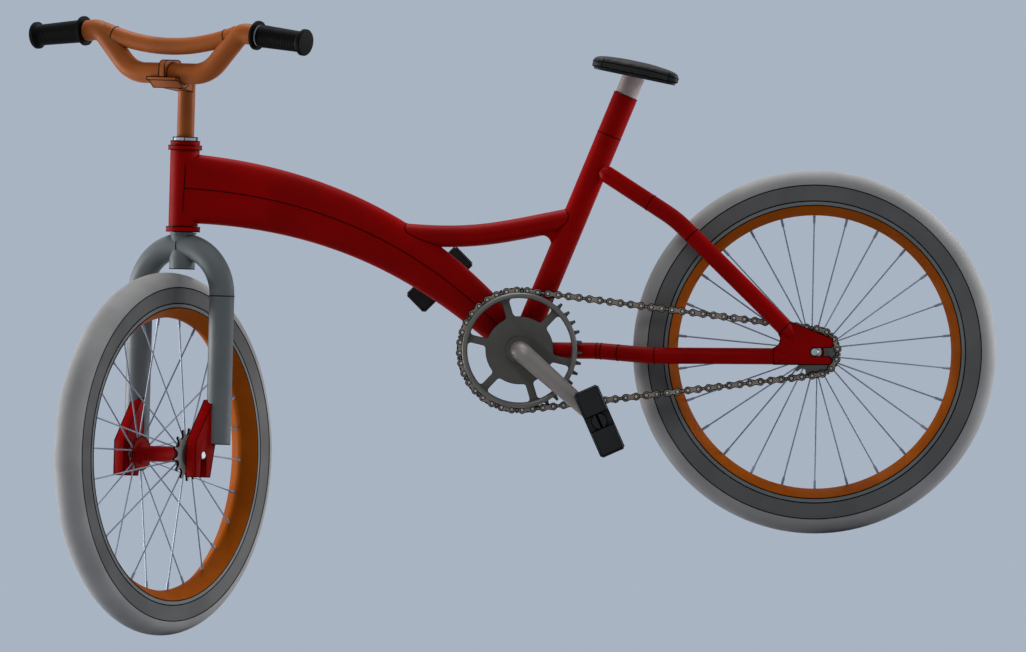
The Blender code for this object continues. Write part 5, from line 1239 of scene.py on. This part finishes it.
weld_line("strut_front_line", strut_rows[24::-1], main_tube, "frame")
weld_line("strut_rear_line", strut_rows[20:], seat_tube, "frame")
print("strut from x", round(strut_start.x, 4), "to", round(strut_end.x, 4))

# %% [markdown]
# ## Stays
#
# The stays run from the seat tube and the bracket past the wheel to the dropouts, bent out round
# the tyre. Near its end each tube is pressed to a taper. A straight cylinder could be bent with a
# lattice, but a line through the corners of the bend, with a radius at each, is how a tube bender
# is set. So each stay is swept along such a line.

# %% Lines for bent tubes
POINT_STEP = 0.004


def rounded_path(corners, bends, step=radians(5)):
    """A line through the corners with a round bend of the given radius at each inner one."""
    corners = [Vector(corner) for corner in corners]
    points = [corners[0]]
    for before, corner, after, bend in zip(corners, corners[1:], corners[2:], bends):
        back, on = (before - corner).normalized(), (after - corner).normalized()
        half = back.angle(on) / 2
        reach = min(bend / tan(half), (before - corner).length * 0.49,
                    (after - corner).length * 0.49)
        centre = corner + (back + on).normalized() * (reach / cos(half))
        start, end = corner + back * reach - centre, corner + on * reach - centre
        count = max(2, int((pi - 2 * half) / step) + 2)
        turn = start.rotation_difference(end)
        points += [centre + Quaternion().slerp(turn, i / (count - 1)) @ start
                   for i in range(count)]
    points.append(corners[-1])
    return points


def fine(path, step=POINT_STEP):
    """The path with more points on its straight runs."""
    points = [path[0]]
    for here, after in zip(path, path[1:]):
        pieces = max(1, round((after - here).length / step))
        points += [here.lerp(after, (i + 1) / pieces) for i in range(pieces)]
    return points


def extend(path, length):
    """The path run on straight past its end, in ten short steps."""
    way = (path[-1] - path[-2]).normalized()
    return [*path, *[path[-1] + way * (length * (i + 1) / 10) for i in range(10)]]


def taper(path, radius, length):
    """Radii along a path that shrink over its last stretch, where the tube is pressed."""
    total, radii = 0, []
    for here, after in zip(reversed(path), [path[-1], *reversed(path)]):
        total += (here - after).length
        radii.append(radius * (0.34 + 0.66 * min(1, total / length) ** 0.6))
    return list(reversed(radii))


def seams_along(name, side, line, radius, places):
    """Joint lines round a tube, at places given from the rear axle along the bicycle."""
    for label, x in places:
        i = min(range(1, len(line) - 1), key=lambda i: abs(line[i].x - REAR_AXLE.x - x))
        seam(f"{name}_{label}_{side}", line[i], line[i + 1] - line[i - 1], radius, "frame")


def from_axle(along, across, left):
    """A place given from the rear axle, along the line of the chainstays and across it."""
    way = Vector((cos(REAR_SLOPE), 0, sin(REAR_SLOPE)))
    upward = Vector((-sin(REAR_SLOPE), 0, cos(REAR_SLOPE)))
    return REAR_AXLE + way * along + upward * across + Vector((0, -left, 0))


print("bent tubes have a point every", POINT_STEP * 1000, "mm")

# %% Seat stays
STAY_RADIUS = 0.01045
STAY_LEVEL = 0.2431
STAY_LEFT = 0.059
STAY_PRESSED = 0.016
STAY_KNEE = 0.042
ROOT_POINTS = 4
# The joint lines round the stay: label, and place from the rear axle along the bicycle.
STAY_LINES = (("upper", -0.1684), ("middle", -0.1256), ("lower", -0.0319))

seat_top = BRACKET + SEAT_AXIS * STAY_LEVEL - SEAT_ACROSS * 0.008
stay_end = from_axle(-0.0364, 0.0292, 0)
span = stay_end - seat_top
bend = seat_top + span * 0.397 + Vector((-span.z, 0, span.x)).normalized() * 0.0152
stay_way = REAR_SLOPE - pi / 4
knee = stay_end - Vector((cos(stay_way), 0, sin(stay_way))) * STAY_KNEE
for hand, side in SIDES:
    corners = [(seat_top.x, -hand * 0.013, seat_top.z), (bend.x, -hand * 0.0390, bend.z),
               (knee.x, -hand * STAY_LEFT, knee.z), (stay_end.x, -hand * STAY_LEFT, stay_end.z)]
    line = extend(fine(rounded_path(corners, [0.12, 0.05])), STAY_PRESSED)[ROOT_POINTS:]
    radii = taper(line, STAY_RADIUS, STAY_PRESSED)
    radii[0], radii[1] = radii[0] * 0.5, radii[1] * 0.85
    stay = sweep("seat_stay_tube_" + side, line, STAY_RADIUS, radii=radii)
    dress_red(stay, "seat_stay_" + side)
    root = tube_rows(line[2:], STAY_RADIUS)[len(line) // 2::-1]
    weld_line("seat_stay_root_" + side, root, seat_tube, "frame")
    seams_along("seat_stay_line", side, line, STAY_RADIUS, STAY_LINES)
print("seat stays made")

# %% Chainstays
CHAINSTAY_RADIUS = 0.0100
CHAINSTAY_DROP = -0.0055
CHAINSTAY_ROOT_LEFT = 0.022
STAY_BEND = 0.0225 - (WALL_TOP + TYRE_SIDE)
CHAINSTAY_LINES = (("first", -0.2614), ("second", -0.2566), ("third", -0.2365),
                   ("fourth", -0.1951), ("last", -0.0507))

for hand, side in SIDES:
    corners = [from_axle(-CENTRES + 0.0095, 0, hand * CHAINSTAY_ROOT_LEFT),
               from_axle(STAY_BEND * 0.59 - CENTRES * 0.41, 0, hand * CHAINSTAY_ROOT_LEFT),
               from_axle(STAY_BEND, CHAINSTAY_DROP, hand * 0.0400),
               from_axle(-0.080, CHAINSTAY_DROP, hand * STAY_LEFT),
               from_axle(-0.050, CHAINSTAY_DROP, hand * STAY_LEFT)]
    line = extend(fine(rounded_path(corners, [0.08, 0.08, 0.06])), STAY_PRESSED)
    stay = sweep("chainstay_tube_" + side, line, CHAINSTAY_RADIUS,
                 radii=taper(line, CHAINSTAY_RADIUS, STAY_PRESSED))
    dress_red(stay, "chainstay_" + side)
    root = tube_rows(line, CHAINSTAY_RADIUS)[len(line) // 2::-1]
    weld_line("chainstay_root_" + side, root, shell, "frame")
    seams_along("chainstay_line", side, line, CHAINSTAY_RADIUS, CHAINSTAY_LINES)
print("chainstays made")

# %% [markdown]
# ## Dropouts
#
# A dropout is a plate welded between the ends of two stays, with an open slot for the axle. It
# could be stamped again from its outline, but the frame's own solid has that outline already. So
# it is copied, its triangles are merged to flat faces and its edges are rounded. The edges that
# stay sharp to the eye get a fine dark line.

# %% Rounding a copy of a solid
SHARP_ANGLE = radians(40)
EDGE_WIDTH = 0.0005


def refine(node_name, name, width, segments=2):
    """A copy of a frame node with its triangles merged to flat faces and its edges rounded."""
    piece = add_object(name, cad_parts[node_name].data.copy())
    take_up(piece)
    merge_corners(outwards=False)
    bpy.ops.object.mode_set(mode="EDIT")
    bpy.ops.mesh.dissolve_limited(angle_limit=radians(1))
    bpy.ops.object.mode_set(mode="OBJECT")
    return modify(piece, "BEVEL", width=width, segments=segments, limit_method="ANGLE",
                  angle_limit=FLAT_ANGLE)


def edge_lines(node_name, name, body):
    """The fine dark lines that the sharp edges of a pressed or forged part show."""
    shape = bmesh.new()
    shape.from_mesh(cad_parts[node_name].data)
    bmesh.ops.remove_doubles(shape, verts=shape.verts, dist=MERGE_GAP)
    sharp = [edge for edge in shape.edges
             if len(edge.link_faces) != 2 or edge.calc_face_angle() >= SHARP_ANGLE]
    paths = [tuple(corner.co.copy() for corner in edge.verts) for edge in sharp]
    shape.free()
    piece = from_curve(name, paths, dimensions="3D", bevel_depth=EDGE_WIDTH, bevel_resolution=0)
    return dress(piece, body, JOINT_AND_SHADE_LINE)


for hand, side in SIDES:
    dropout = "rear_dropout_" + side
    dress_red(refine(dropout, "rear_dropout_plate_" + side, 0.0014, 3), dropout)
    edge_lines(dropout, "rear_dropout_edge_" + side, "frame")
print("dropouts made")

# %% [markdown]
# ## Headset
#
# Two pressed cups, an adjusting race and a locknut hold the steerer. The cups and the race are
# turned parts with small steps. Stacked cylinders would hide those steps, so they are spun from
# their profiles. The nut keeps its six flats, so it is a copy of the solid with rounded edges.

# %% Headset
UPPER_CUP = [(0.0135, 0.0933), (0.0202, 0.0933), (0.0206, 0.0937), (0.0206, 0.0983),
             (0.0202, 0.0988), (0.0178, 0.0988), (0.0178, 0.0979), (0.0138, 0.0968)]
LOWER_CUP = [(0.0135, -0.0003), (0.0204, -0.0003), (0.0208, -0.0008), (0.0208, -0.0061),
             (0.0204, -0.0066), (0.0178, -0.0066), (0.0178, -0.0056), (0.0138, -0.0044)]
# The dark lines at the steps: label, height over the head tube's foot, radius.
CUP_LINES = (("top", 0.0985, 0.0203), ("step", 0.0935, 0.0203), ("race", 0.1039, 0.0178),
             ("low", -0.0006, 0.0205), ("lowest", -0.0063, 0.0205))

dress_red(lathe("upper_cup_turned", closed(UPPER_CUP), HEAD, 48), "headset_upper_bearing")
dress_red(lathe("lower_cup_turned", closed(LOWER_CUP), HEAD, 48), "headset_lower_bearing")
race = lathe("adjusting_race_turned", soft_ring(0.0130, 0.0181, 0.0991, 0.1039, 0.0005),
             STEERING, 48)
dress_red(race, "headset_adjusting_race", body="fork_assembly")
locknut = refine("headset_locknut", "locknut_chamfered", 0.0004)
dress(locknut, "fork_assembly", BRIGHT_STEEL, ["headset_locknut"])
edge_lines("headset_locknut", "locknut_edge", "fork_assembly")
for label, level, radius in CUP_LINES:
    seam("cup_line_" + label, HEAD_FOOT + HEAD_AXIS * level, HEAD_AXIS, radius, "frame")
print("headset made")

# %% [markdown]
# ## Fork
#
# One tube is bent to an arch over the tyre, so both legs and the crown are a single sweep. Two
# cylinders and half a torus would leave a joint on each side. A sleeve under the lower cup holds
# the arch to the steerer, and a thick dropout block sits on the inside of each leg's end.

# %% Fork
FORK_HALF_SPAN = 0.0599
FORK_TUBE_RADIUS = 0.0152
FORK_FOOT_RADIUS = FORK_TUBE_RADIUS - 0.0008
ARCH_LEVEL = -0.0834
LEG_END = 0.0136 - FORK_LENGTH
CROWN = [(0.0130, -0.0096), (0.0144, -0.0096), (0.0146, -0.0100), (0.0146, -0.0345),
         (0.0156, -0.0375), (0.0156, -0.0515), (0.0152, -0.0519), (0, -0.0519)]

fork_line = [(-FORK_HALF_SPAN, LEG_END), (-FORK_HALF_SPAN, LEG_END + 0.0010)]
fork_line += [(-across, height)
              for across, height in arc(FORK_HALF_SPAN, 0, pi, 41, (0, ARCH_LEVEL))]
fork_line += [(FORK_HALF_SPAN, LEG_END + 0.0010), (FORK_HALF_SPAN, LEG_END)]
radii = [FORK_FOOT_RADIUS, *[FORK_TUBE_RADIUS] * (len(fork_line) - 2), FORK_FOOT_RADIUS]
fork = sweep("fork_tube", [(0, *spot) for spot in fork_line], FORK_TUBE_RADIUS, STEERING, radii,
             14)
fork = together("fork_and_crown", fork, lathe("crown", CROWN, STEERING, 48))
dress(fork, "fork_assembly", GREY_ENAMEL, ["fork"])
print("fork", len(fork.data.polygons), "faces")

# %% The fork's blocks and lines
def fork_seam(name, across, height, way, radius):
    """A joint line on the fork, placed and turned with the steering."""
    seam(name, STEERING @ Vector((0, across, height)), STEERING_TURN @ Vector(way), radius,
         "fork_assembly")


for hand, side in SIDES:
    across = -hand * FORK_HALF_SPAN
    fork_seam("fork_line_" + side, across, ARCH_LEVEL, (0, 0, 1), FORK_TUBE_RADIUS)
    fork_seam("fork_foot_line_" + side, across, LEG_END, (0, 0, 1), FORK_FOOT_RADIUS)
    dropout = "fork_dropout_" + side
    edge_lines(dropout, "fork_block_edge_" + side, "fork_assembly")
    dress_red(refine(dropout, "fork_block_" + side, 0.0007), dropout, body="fork_assembly")
fork_seam("crown_top_line", 0, ARCH_LEVEL + FORK_HALF_SPAN, (0, 1, 0), FORK_TUBE_RADIUS)
fork_seam("crown_foot_line", 0, -0.0518, (0, 0, 1), 0.0153)
print("fork made")

# %% [markdown]
# ## Stem
#
# The quill stem ends in a trough that the bar lies in, and a bent strap over the bar holds it
# down. They are cast and bent parts with flat faces. Modelling them again would only repeat the
# frame's own solids, so copies of those get round edges and fine edge lines.

# %% Stem
for node_name, name, width, segments, steel, slot in (
        ("stem", "stem_forging", 0.0005, 2, COPPER_ENAMEL, "copper_enamel"),
        ("stem_strap", "bar_strap", 0.0008, 3, COPPER_ENAMEL, "copper_enamel"),
        ("stem_bolt_and_wedge", "stem_bolt_turned", 0.0004, 2, BRIGHT_STEEL, "bright_steel")):
    dress(refine(node_name, name, width, segments), "bars", steel, [node_name])
edge_lines("stem", "stem_edge", "bars")
edge_lines("stem_strap", "bar_strap_edge", "bars")
print("stem made")

# %% [markdown]
# ## Handlebar
#
# The bar is one tube with two bends each side, and a thinner crossbar sags between the elbows.
# Both are swept along their lines, as the stays are: only half of the bar is laid out, and the
# other half is its mirror image, so that both sides are alike. The two joints of the crossbar
# show as short dark lines.

# %% Handlebar
STEM_REACH = 0.037
BAR_HEIGHT = 0.186
BAR_HIGH = BAR_HEIGHT + 0.0514
BAR_RADIUS = 0.0127
BAR_INSIDE_GRIP = 0.0095
ELBOW = 0.1025
GRIP_START = 0.1235
BAR_END = 0.1955
BAR_SLOPE = -0.0097 / (0.1975 - ELBOW)
NECK_HEIGHT = BAR_HIGH + BAR_SLOPE * 0.021


def on_bars(left, height):
    return Vector((-STEM_REACH, -left, height))


half = rounded_path([on_bars(0, BAR_HEIGHT), on_bars(0.056, BAR_HEIGHT), on_bars(ELBOW, BAR_HIGH),
                     on_bars(GRIP_START, NECK_HEIGHT)], [0.045, 0.022], radians(4))
bar_radii = [BAR_RADIUS] * len(half) + [BAR_INSIDE_GRIP] * 2
half += [on_bars(GRIP_START + 0.001, NECK_HEIGHT),
         on_bars(BAR_END, BAR_HIGH + BAR_SLOPE * (BAR_END - ELBOW))]
mirrored = [Vector((p.x, -p.y, p.z)) for p in reversed(half[1:])]
bar = sweep("handlebar_tube", mirrored + half, BAR_RADIUS, STEERING,
            bar_radii[:0:-1] + bar_radii, 14)
dress(bar, "bars", COPPER_ENAMEL, ["handlebar"])
print("handlebar", len(bar.data.polygons), "faces")

# %% Crossbar
CROSSBAR_RADIUS = 0.01035
CROSS_REACH = ELBOW - 0.0145
CROSS_DROP = 0.0045
CROSS_SAG = 0.0140

cross_line = []
for i in range(41):
    left = CROSS_REACH * 1.1 * (i / 20 - 1)
    sag = CROSS_SAG * (1 - (left / CROSS_REACH) ** 2)
    cross_line.append(on_bars(left, BAR_HIGH - CROSS_DROP - sag))
crossbar = sweep("crossbar_tube", cross_line, CROSSBAR_RADIUS, STEERING, sides=12)
dress(crossbar, "bars", COPPER_ENAMEL, ["crossbar"])
for i, side in ((3, "right"), (37, "left")):
    way = STEERING_TURN @ (cross_line[i + 1] - cross_line[i - 1])
    seam("crossbar_line_" + side, STEERING @ cross_line[i], way, CROSSBAR_RADIUS, "bars")
print("crossbar made")

# %% [markdown]
# ## Grips
#
# A grip is moulded rubber with a flange at each end and fine ribs between, pushed over the bar.
# The ribs could be a bump in the material, but they show on the outline, so they are part of the
# profile that is spun. A light ring sits in the groove behind the inner flange.

# %% Grips
RIBS = 14
RIB_DEPTH = 0.0004
RIBS_FROM, RIBS_LENGTH = 0.0092, 0.0570
RIB_RADII = (0.0139, 0.0128)
# The profile as (radius, distance along the grip), up to the first rib and after the last one.
GRIP_INNER = [(0, 0.0745), (0.0101, 0.0745), (0.0101, 0.0013), (0.0170, 0.0013),
              (0.0180, 0.0022), (0.0180, 0.0049), (0.0171, 0.0058), (0.0114, 0.0059),
              (0.0114, 0.0081)]
GRIP_OUTER = [(0.0129, 0.0674), (0.0155, 0.0700), (0.0164, 0.0710), (0.0164, 0.0745),
              (0.0155, 0.0757), (0.0130, 0.0760), (0, 0.0760)]


def grip_profile():
    ribs = []
    for i in range(RIBS):
        share = i / RIBS
        foot = RIBS_FROM + RIBS_LENGTH * share
        radius = RIB_RADII[0] + (RIB_RADII[1] - RIB_RADII[0]) * share
        ribs += [(radius, foot), (radius, foot + 0.0026), (radius - RIB_DEPTH, foot + 0.0029),
                 (radius - RIB_DEPTH, foot + 0.0036)]
    return [*GRIP_INNER, *ribs, *GRIP_OUTER]


for hand, side in SIDES:
    turn = Matrix.Rotation(hand * (pi / 2 - atan2(BAR_SLOPE, 1)), 4, "X")
    place = STEERING @ Matrix.Translation(on_bars(hand * GRIP_START, NECK_HEIGHT)) @ turn
    grip = lathe("grip_rubber_" + side, grip_profile(), place, 48)
    dress(grip, "bars", BLACK_RUBBER, ["grip_" + side])
    band = lathe("grip_band_" + side, soft_ring(0.0118, 0.0133, 0.0061, 0.0078, 0.0003), place, 48)
    dress(band, "bars", BRIGHT_STEEL, ["grip_ring_" + side])
print("grips made")

# %% [markdown]
# ## Crank
#
# The crank is one forged bar bent to a Z: a pedal arm, the axle through the bracket, and the other
# arm. Three cylinders would meet in sharp mitres, so the bar is swept along the bent line and
# thins towards the eyes. The cones, the collar, the nut and the drive pin are turned or cut parts,
# coloured dark as painted shade round the crank's elbow.

# %% Crank
CRANK_LENGTH = 0.130
CRANK_EYE = 0.065019
CRANK_ELBOW = 0.053019
AXLE_THICK = 0.0114
ARM_THICK, ARM_THINNER = 0.0122, 0.0030
EYE_HALF = 0.007

crank_line = rounded_path([(CRANK_LENGTH, 0, CRANK_EYE), (0, 0, CRANK_ELBOW),
                           (0, 0, -CRANK_ELBOW), (-CRANK_LENGTH, 0, -CRANK_EYE)],
                          [0.0145, 0.0145], radians(6))
shares = [abs(spot.x) / CRANK_LENGTH for spot in crank_line]
crank_radii = [AXLE_THICK if share < 0.001 else ARM_THICK - ARM_THINNER * share
               for share in shares]
forging = [sweep("arms", crank_line, AXLE_THICK, CRANK, crank_radii, 14)]
for hand, side in SIDES:
    eye_place = CRANK @ shift(hand * CRANK_LENGTH, 0, hand * CRANK_EYE)
    forging.append(lathe("eye", soft_ring(0.0067, 0.0125, -EYE_HALF, EYE_HALF, 0.0012),
                         eye_place, 40))
crank = together("crank_forging", *forging)
dress(crank, "crankset", FORGED_STEEL, ["crank"])
print("crank", len(crank.data.polygons), "faces")

# %% The crank's fittings
fittings = [lathe("cone", soft_ring(0.0100, 0.0144, low, high, 0.0008), CRANK, 40)
            for low, high in ((0.0265, 0.0335), (-0.0335, -0.0265))]
fittings.append(lathe("collar", soft_ring(0.0100, 0.0165, 0.0387, 0.0427, 0.0008), CRANK, 40))
clear_selection()
bpy.ops.mesh.primitive_cylinder_add(vertices=6, radius=0.0196, depth=0.006)
nut = modify(bpy.context.object, "BEVEL", width=0.0006, segments=2)
fittings.append(bake(nut, CRANK @ shift(0, 0, -0.0362)))
clear_selection()
bpy.ops.mesh.primitive_cylinder_add(vertices=20, radius=0.0040, depth=0.0164)
fittings.append(bake(bpy.context.object, CRANK @ shift(0.026, 0, 0.0438)))
# The fittings are dark as painted shade round the crank's elbow.
dress(together("crank_fittings", *fittings), "crankset", DARK_STEEL)
print("the crank's fittings made")

# %% [markdown]
# ## Pedals
#
# Each pedal is a nylon block on a steel spindle, with a waist round its barrel and low ribs across
# its tread faces. The block and the spindle are copies of the frame's solids with round edges. The
# ribs could be a pattern in the material, but they catch the light along their edges, so one bar
# is modelled and copied.

# %% Pedals
PEDAL_TURNS = (-radians(75), radians(35.8))
PEDAL_RIBS = 8
PEDAL_RIB_PITCH = 0.0091
PEDAL_FACE = 0.01545
# From the crank's eye past its half width, the washers and the spindle's shoulder.
PEDAL_FOOT = CRANK_EYE + EYE_HALF + 0.0084


def make_ribs(name, hand, place):
    """Low ribs across both tread faces of a pedal, modelled once and copied."""
    clear_selection()
    bpy.ops.mesh.primitive_cube_add(size=1, scale=(0.0700, 0.0009, 0.0036))
    bpy.ops.object.transform_apply(location=False, rotation=False, scale=True)
    rib = modify(bpy.context.object, "BEVEL", width=0.0003, segments=1)
    places = [place @ shift(0, face * PEDAL_FACE,
                            hand * (PEDAL_FOOT + 0.005 + PEDAL_RIB_PITCH * i))
              for face in (1, -1) for i in range(PEDAL_RIBS)]
    ribs = together(name, *copies_of(rib, places))
    bpy.data.objects.remove(rib)
    return ribs


for (hand, side), turn in zip(SIDES, PEDAL_TURNS):
    place = CRANK @ shift(hand * CRANK_LENGTH, 0, 0) @ Matrix.Rotation(turn - CRANK_ANGLE, 4, "Z")
    body = side + "_pedal"
    block = refine("pedal_" + side, "pedal_block_" + side, 0.0006)
    dress(block, body, BLACK_PLASTIC, ["pedal_" + side])
    edge_lines("pedal_" + side, "pedal_edge_" + side, body)
    spindle = refine("pedal_spindle_" + side, "pedal_spindle_turned_" + side, 0.0003)
    dress(spindle, "crankset", BRIGHT_STEEL, ["pedal_spindle_" + side])
    ribs = make_ribs("pedal_ribs_" + side, hand, place)
    dress(ribs, body, BLACK_PLASTIC)
print("pedals made")

# %% [markdown]
# ## Seat post and saddle base
#
# The post is a brushed alloy tube, spun like the other tubes. The saddle stands on a moulded base
# with a plug in the post. The base is flat, so it is stamped from the saddle's outline, a little
# smaller than the pad that covers it.

# %% Seat post and base
SADDLE_TILT = radians(20.6) - (pi / 2 - SEAT_ANGLE)
SADDLE = SEAT @ shift(0, 0, 0.3605) @ Matrix.Rotation(SADDLE_TILT, 4, "Y")
SADDLE_FRONT, SADDLE_REAR = 0.0525, 0.0545
FRONT_HALF, REAR_HALF = 0.046, 0.069
SADDLE_CORNER = 0.015
CORNER_POINTS = 7
BASE_INSET = 0.0030
BASE_THICK = 0.0030
PLUG = [(0, 0.3400), (0.0110, 0.3400), (0.0110, 0.3620), (0, 0.3620)]


def saddle_outline(inset):
    """The saddle from above: narrow in front, wide behind, with round corners."""
    front, rear = inset - SADDLE_FRONT, SADDLE_REAR - inset
    front_side, rear_side = FRONT_HALF - inset, REAR_HALF - inset
    corners = [Vector((front, front_side)), Vector((rear, rear_side)),
               Vector((rear, -rear_side)), Vector((front, -front_side))]
    points = []
    for before, corner, after in zip(corners[-1:] + corners, corners, corners[1:] + corners[:1]):
        back, on = before - corner, after - corner
        reach = min(SADDLE_CORNER, back.length * 0.45, on.length * 0.45)
        start, end = corner + back.normalized() * reach, corner + on.normalized() * reach
        for i in range(CORNER_POINTS):
            share = i / (CORNER_POINTS - 1)
            points.append(start.lerp(corner, share).lerp(corner.lerp(end, share), share))
    return points


post = lathe("seat_post_tube", soft_ring(0.0115, 0.0136, 0.186, 0.3624, 0.0003), SEAT, 48)
dress(post, "seat", BRUSHED_ALLOY, ["seat_post"])
base = stamp("saddle_base_moulded", [saddle_outline(BASE_INSET)], BASE_THICK,
             SADDLE @ shift(0, 0, BASE_THICK / 2), 0.0007)
base = together("saddle_base_moulded", base, lathe("plug", PLUG, SEAT, 32))
dress(base, "seat", BLACK_PLASTIC, ["saddle_base"])
print("seat post and base made")

# %% [markdown]
# ## The padded top
#
# The pad is foam under vinyl. The foam fills the cover, so the top is crowned and the sides swell
# a little. Rounded edges on a block would leave its faces flat. So the pad starts as rows of the
# saddle's outline that draw in towards the crown, is remeshed to even faces, and a cloth simulation
# with a gentle inner pressure blows it up like a cushion, held to a movement of a millimetre.

# %% The padded top
PAD_FOOT = 0.0012
PAD_CROWN = 0.0190
REAR_FALL, FRONT_FALL = 0.0045, 0.0030
PAD_MOVE = 0.0010
PAD_VOXEL = 0.0034
CLOTH_FRAMES = 20
# Each row: how far it draws in from the outline, and its share of the pad's height.
PAD_ROWS = ((0.0002, 0), (-0.0008, 0.08), (-0.0008, 0.64), (0.0004, 0.80), (0.0040, 0.92),
            (0.0140, 0.98), (0.0340, 1.0))
VINYL_CLOTH = {"quality": 6, "mass": 0.3, "tension_stiffness": 20, "compression_stiffness": 20,
               "bending_stiffness": 2, "use_pressure": True, "uniform_pressure_force": 4}


def crown_height(x):
    fall = REAR_FALL * (x / SADDLE_REAR) ** 2 if x > 0 else FRONT_FALL * (x / SADDLE_FRONT) ** 2
    return PAD_CROWN - fall


def between(foot, x, share):
    """A height at this share of the way from the foot to the crown."""
    return foot + (crown_height(x) - foot) * share


def blow_up(pad):
    """Blows the pad up as cloth, and moves its corners that way by no more than PAD_MOVE."""
    start = [corner.co.copy() for corner in pad.data.vertices]
    cloth = pad.modifiers.new("cloth", "CLOTH")
    for setting, value in VINYL_CLOTH.items():
        setattr(cloth.settings, setting, value)
    cloth.settings.effector_weights.gravity = 0
    scene = bpy.context.scene
    for moment in range(1, CLOTH_FRAMES + 1):
        scene.frame_set(moment)
    graph = bpy.context.evaluated_depsgraph_get()
    blown = [corner.co.copy() for corner in pad.evaluated_get(graph).to_mesh().vertices]
    pad.modifiers.remove(cloth)
    scene.frame_set(1)
    for corner, before, after in zip(pad.data.vertices, start, blown):
        way = after - before
        corner.co = before + way * min(1, PAD_MOVE / max(way.length, 0.000001))


def make_pad():
    rows = [[SADDLE @ Vector((spot.x, spot.y, between(PAD_FOOT, spot.x, share)))
             for spot in saddle_outline(inset)] for inset, share in PAD_ROWS]
    pad = loft("saddle_pad_padded", rows)
    take_up(pad)
    modify(pad, "REMESH", mode="VOXEL", voxel_size=PAD_VOXEL)
    blow_up(pad)
    modify(pad, "CORRECTIVE_SMOOTH", factor=0.4, iterations=1, use_only_smooth=True)
    modify(pad, "SUBSURF", levels=1, render_levels=1)
    dress(pad, "seat", SADDLE_VINYL, ["saddle_pad"])
    return pad


pad = make_pad()
print("pad", len(pad.data.polygons), "faces")

# %% [markdown]
# ## Piping and seams
#
# The cover is sewn from a top, a side band and two end pieces. A painted line would slide off the
# swollen surface, so each seam's points are drawn beside the pad and brought to the nearest place
# on it, and a fine cord is swept through them.

# %% Piping and seams
LINE_FOOT = 0.0006
pad_surface = surface_of(pad)


def on_pad(x, y, z):
    return pad_surface.find_nearest(SADDLE @ Vector((x, y, z)))[0]


around = fine([spot.to_3d() for spot in saddle_outline(-0.002)], 0.006)
for label, share, width in (("upper", 0.62, 0.0006), ("lower", 0.10, 0.0007)):
    loop = [on_pad(spot.x, spot.y, between(LINE_FOOT, spot.x, share)) for spot in around]
    lay_line(f"saddle_piping_{label}", [*loop, loop[0]], "seat", width)
for label, x, half_width in (("front", -0.0405, 0.0475), ("rear", 0.0420, 0.0680)):
    for hand, side in SIDES:
        line = [on_pad(x, -hand * half_width, between(PAD_FOOT, x, i / 8)) for i in range(9)]
        lay_line(f"saddle_seam_{label}_{side}", line, "seat", 0.0005)
print("saddle seams laid")

# %% [markdown]
# ## Finishes for the frame's own solids
#
# What is hidden inside, such as bearings, inner tubes and the steerer, could be modelled again too,
# but nobody sees it. It keeps the frame's own solid and only takes the finish that its material
# slot names.

# %% Finishes by slot
FINISH_OF = {
    "red_enamel": RED_ENAMEL, "copper_enamel": COPPER_ENAMEL, "grey_enamel": GREY_ENAMEL,
    "orange_enamel": ORANGE_ENAMEL, "brushed_post": BRUSHED_ALLOY, "bright_steel": BRIGHT_STEEL,
    "dark_steel": DARK_STEEL, "forged_steel": FORGED_STEEL, "chain_steel": CHAIN_STEEL,
    "tyre_rubber": WALL_RUBBER, "butyl_rubber": BLACK_RUBBER, "black_rubber": BLACK_RUBBER,
    "black_plastic": BLACK_PLASTIC, "saddle_vinyl": SADDLE_VINYL,
}
kept = []
for name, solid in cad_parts.items():
    for place in solid.material_slots:
        slot_name = place.material.name.split(".")[0] if place.material else "bright_steel"
        place.material = FINISH_OF[slot_name]
    if not solid.hide_render:
        kept.append(name)
print("solids kept in view:", ", ".join(kept))
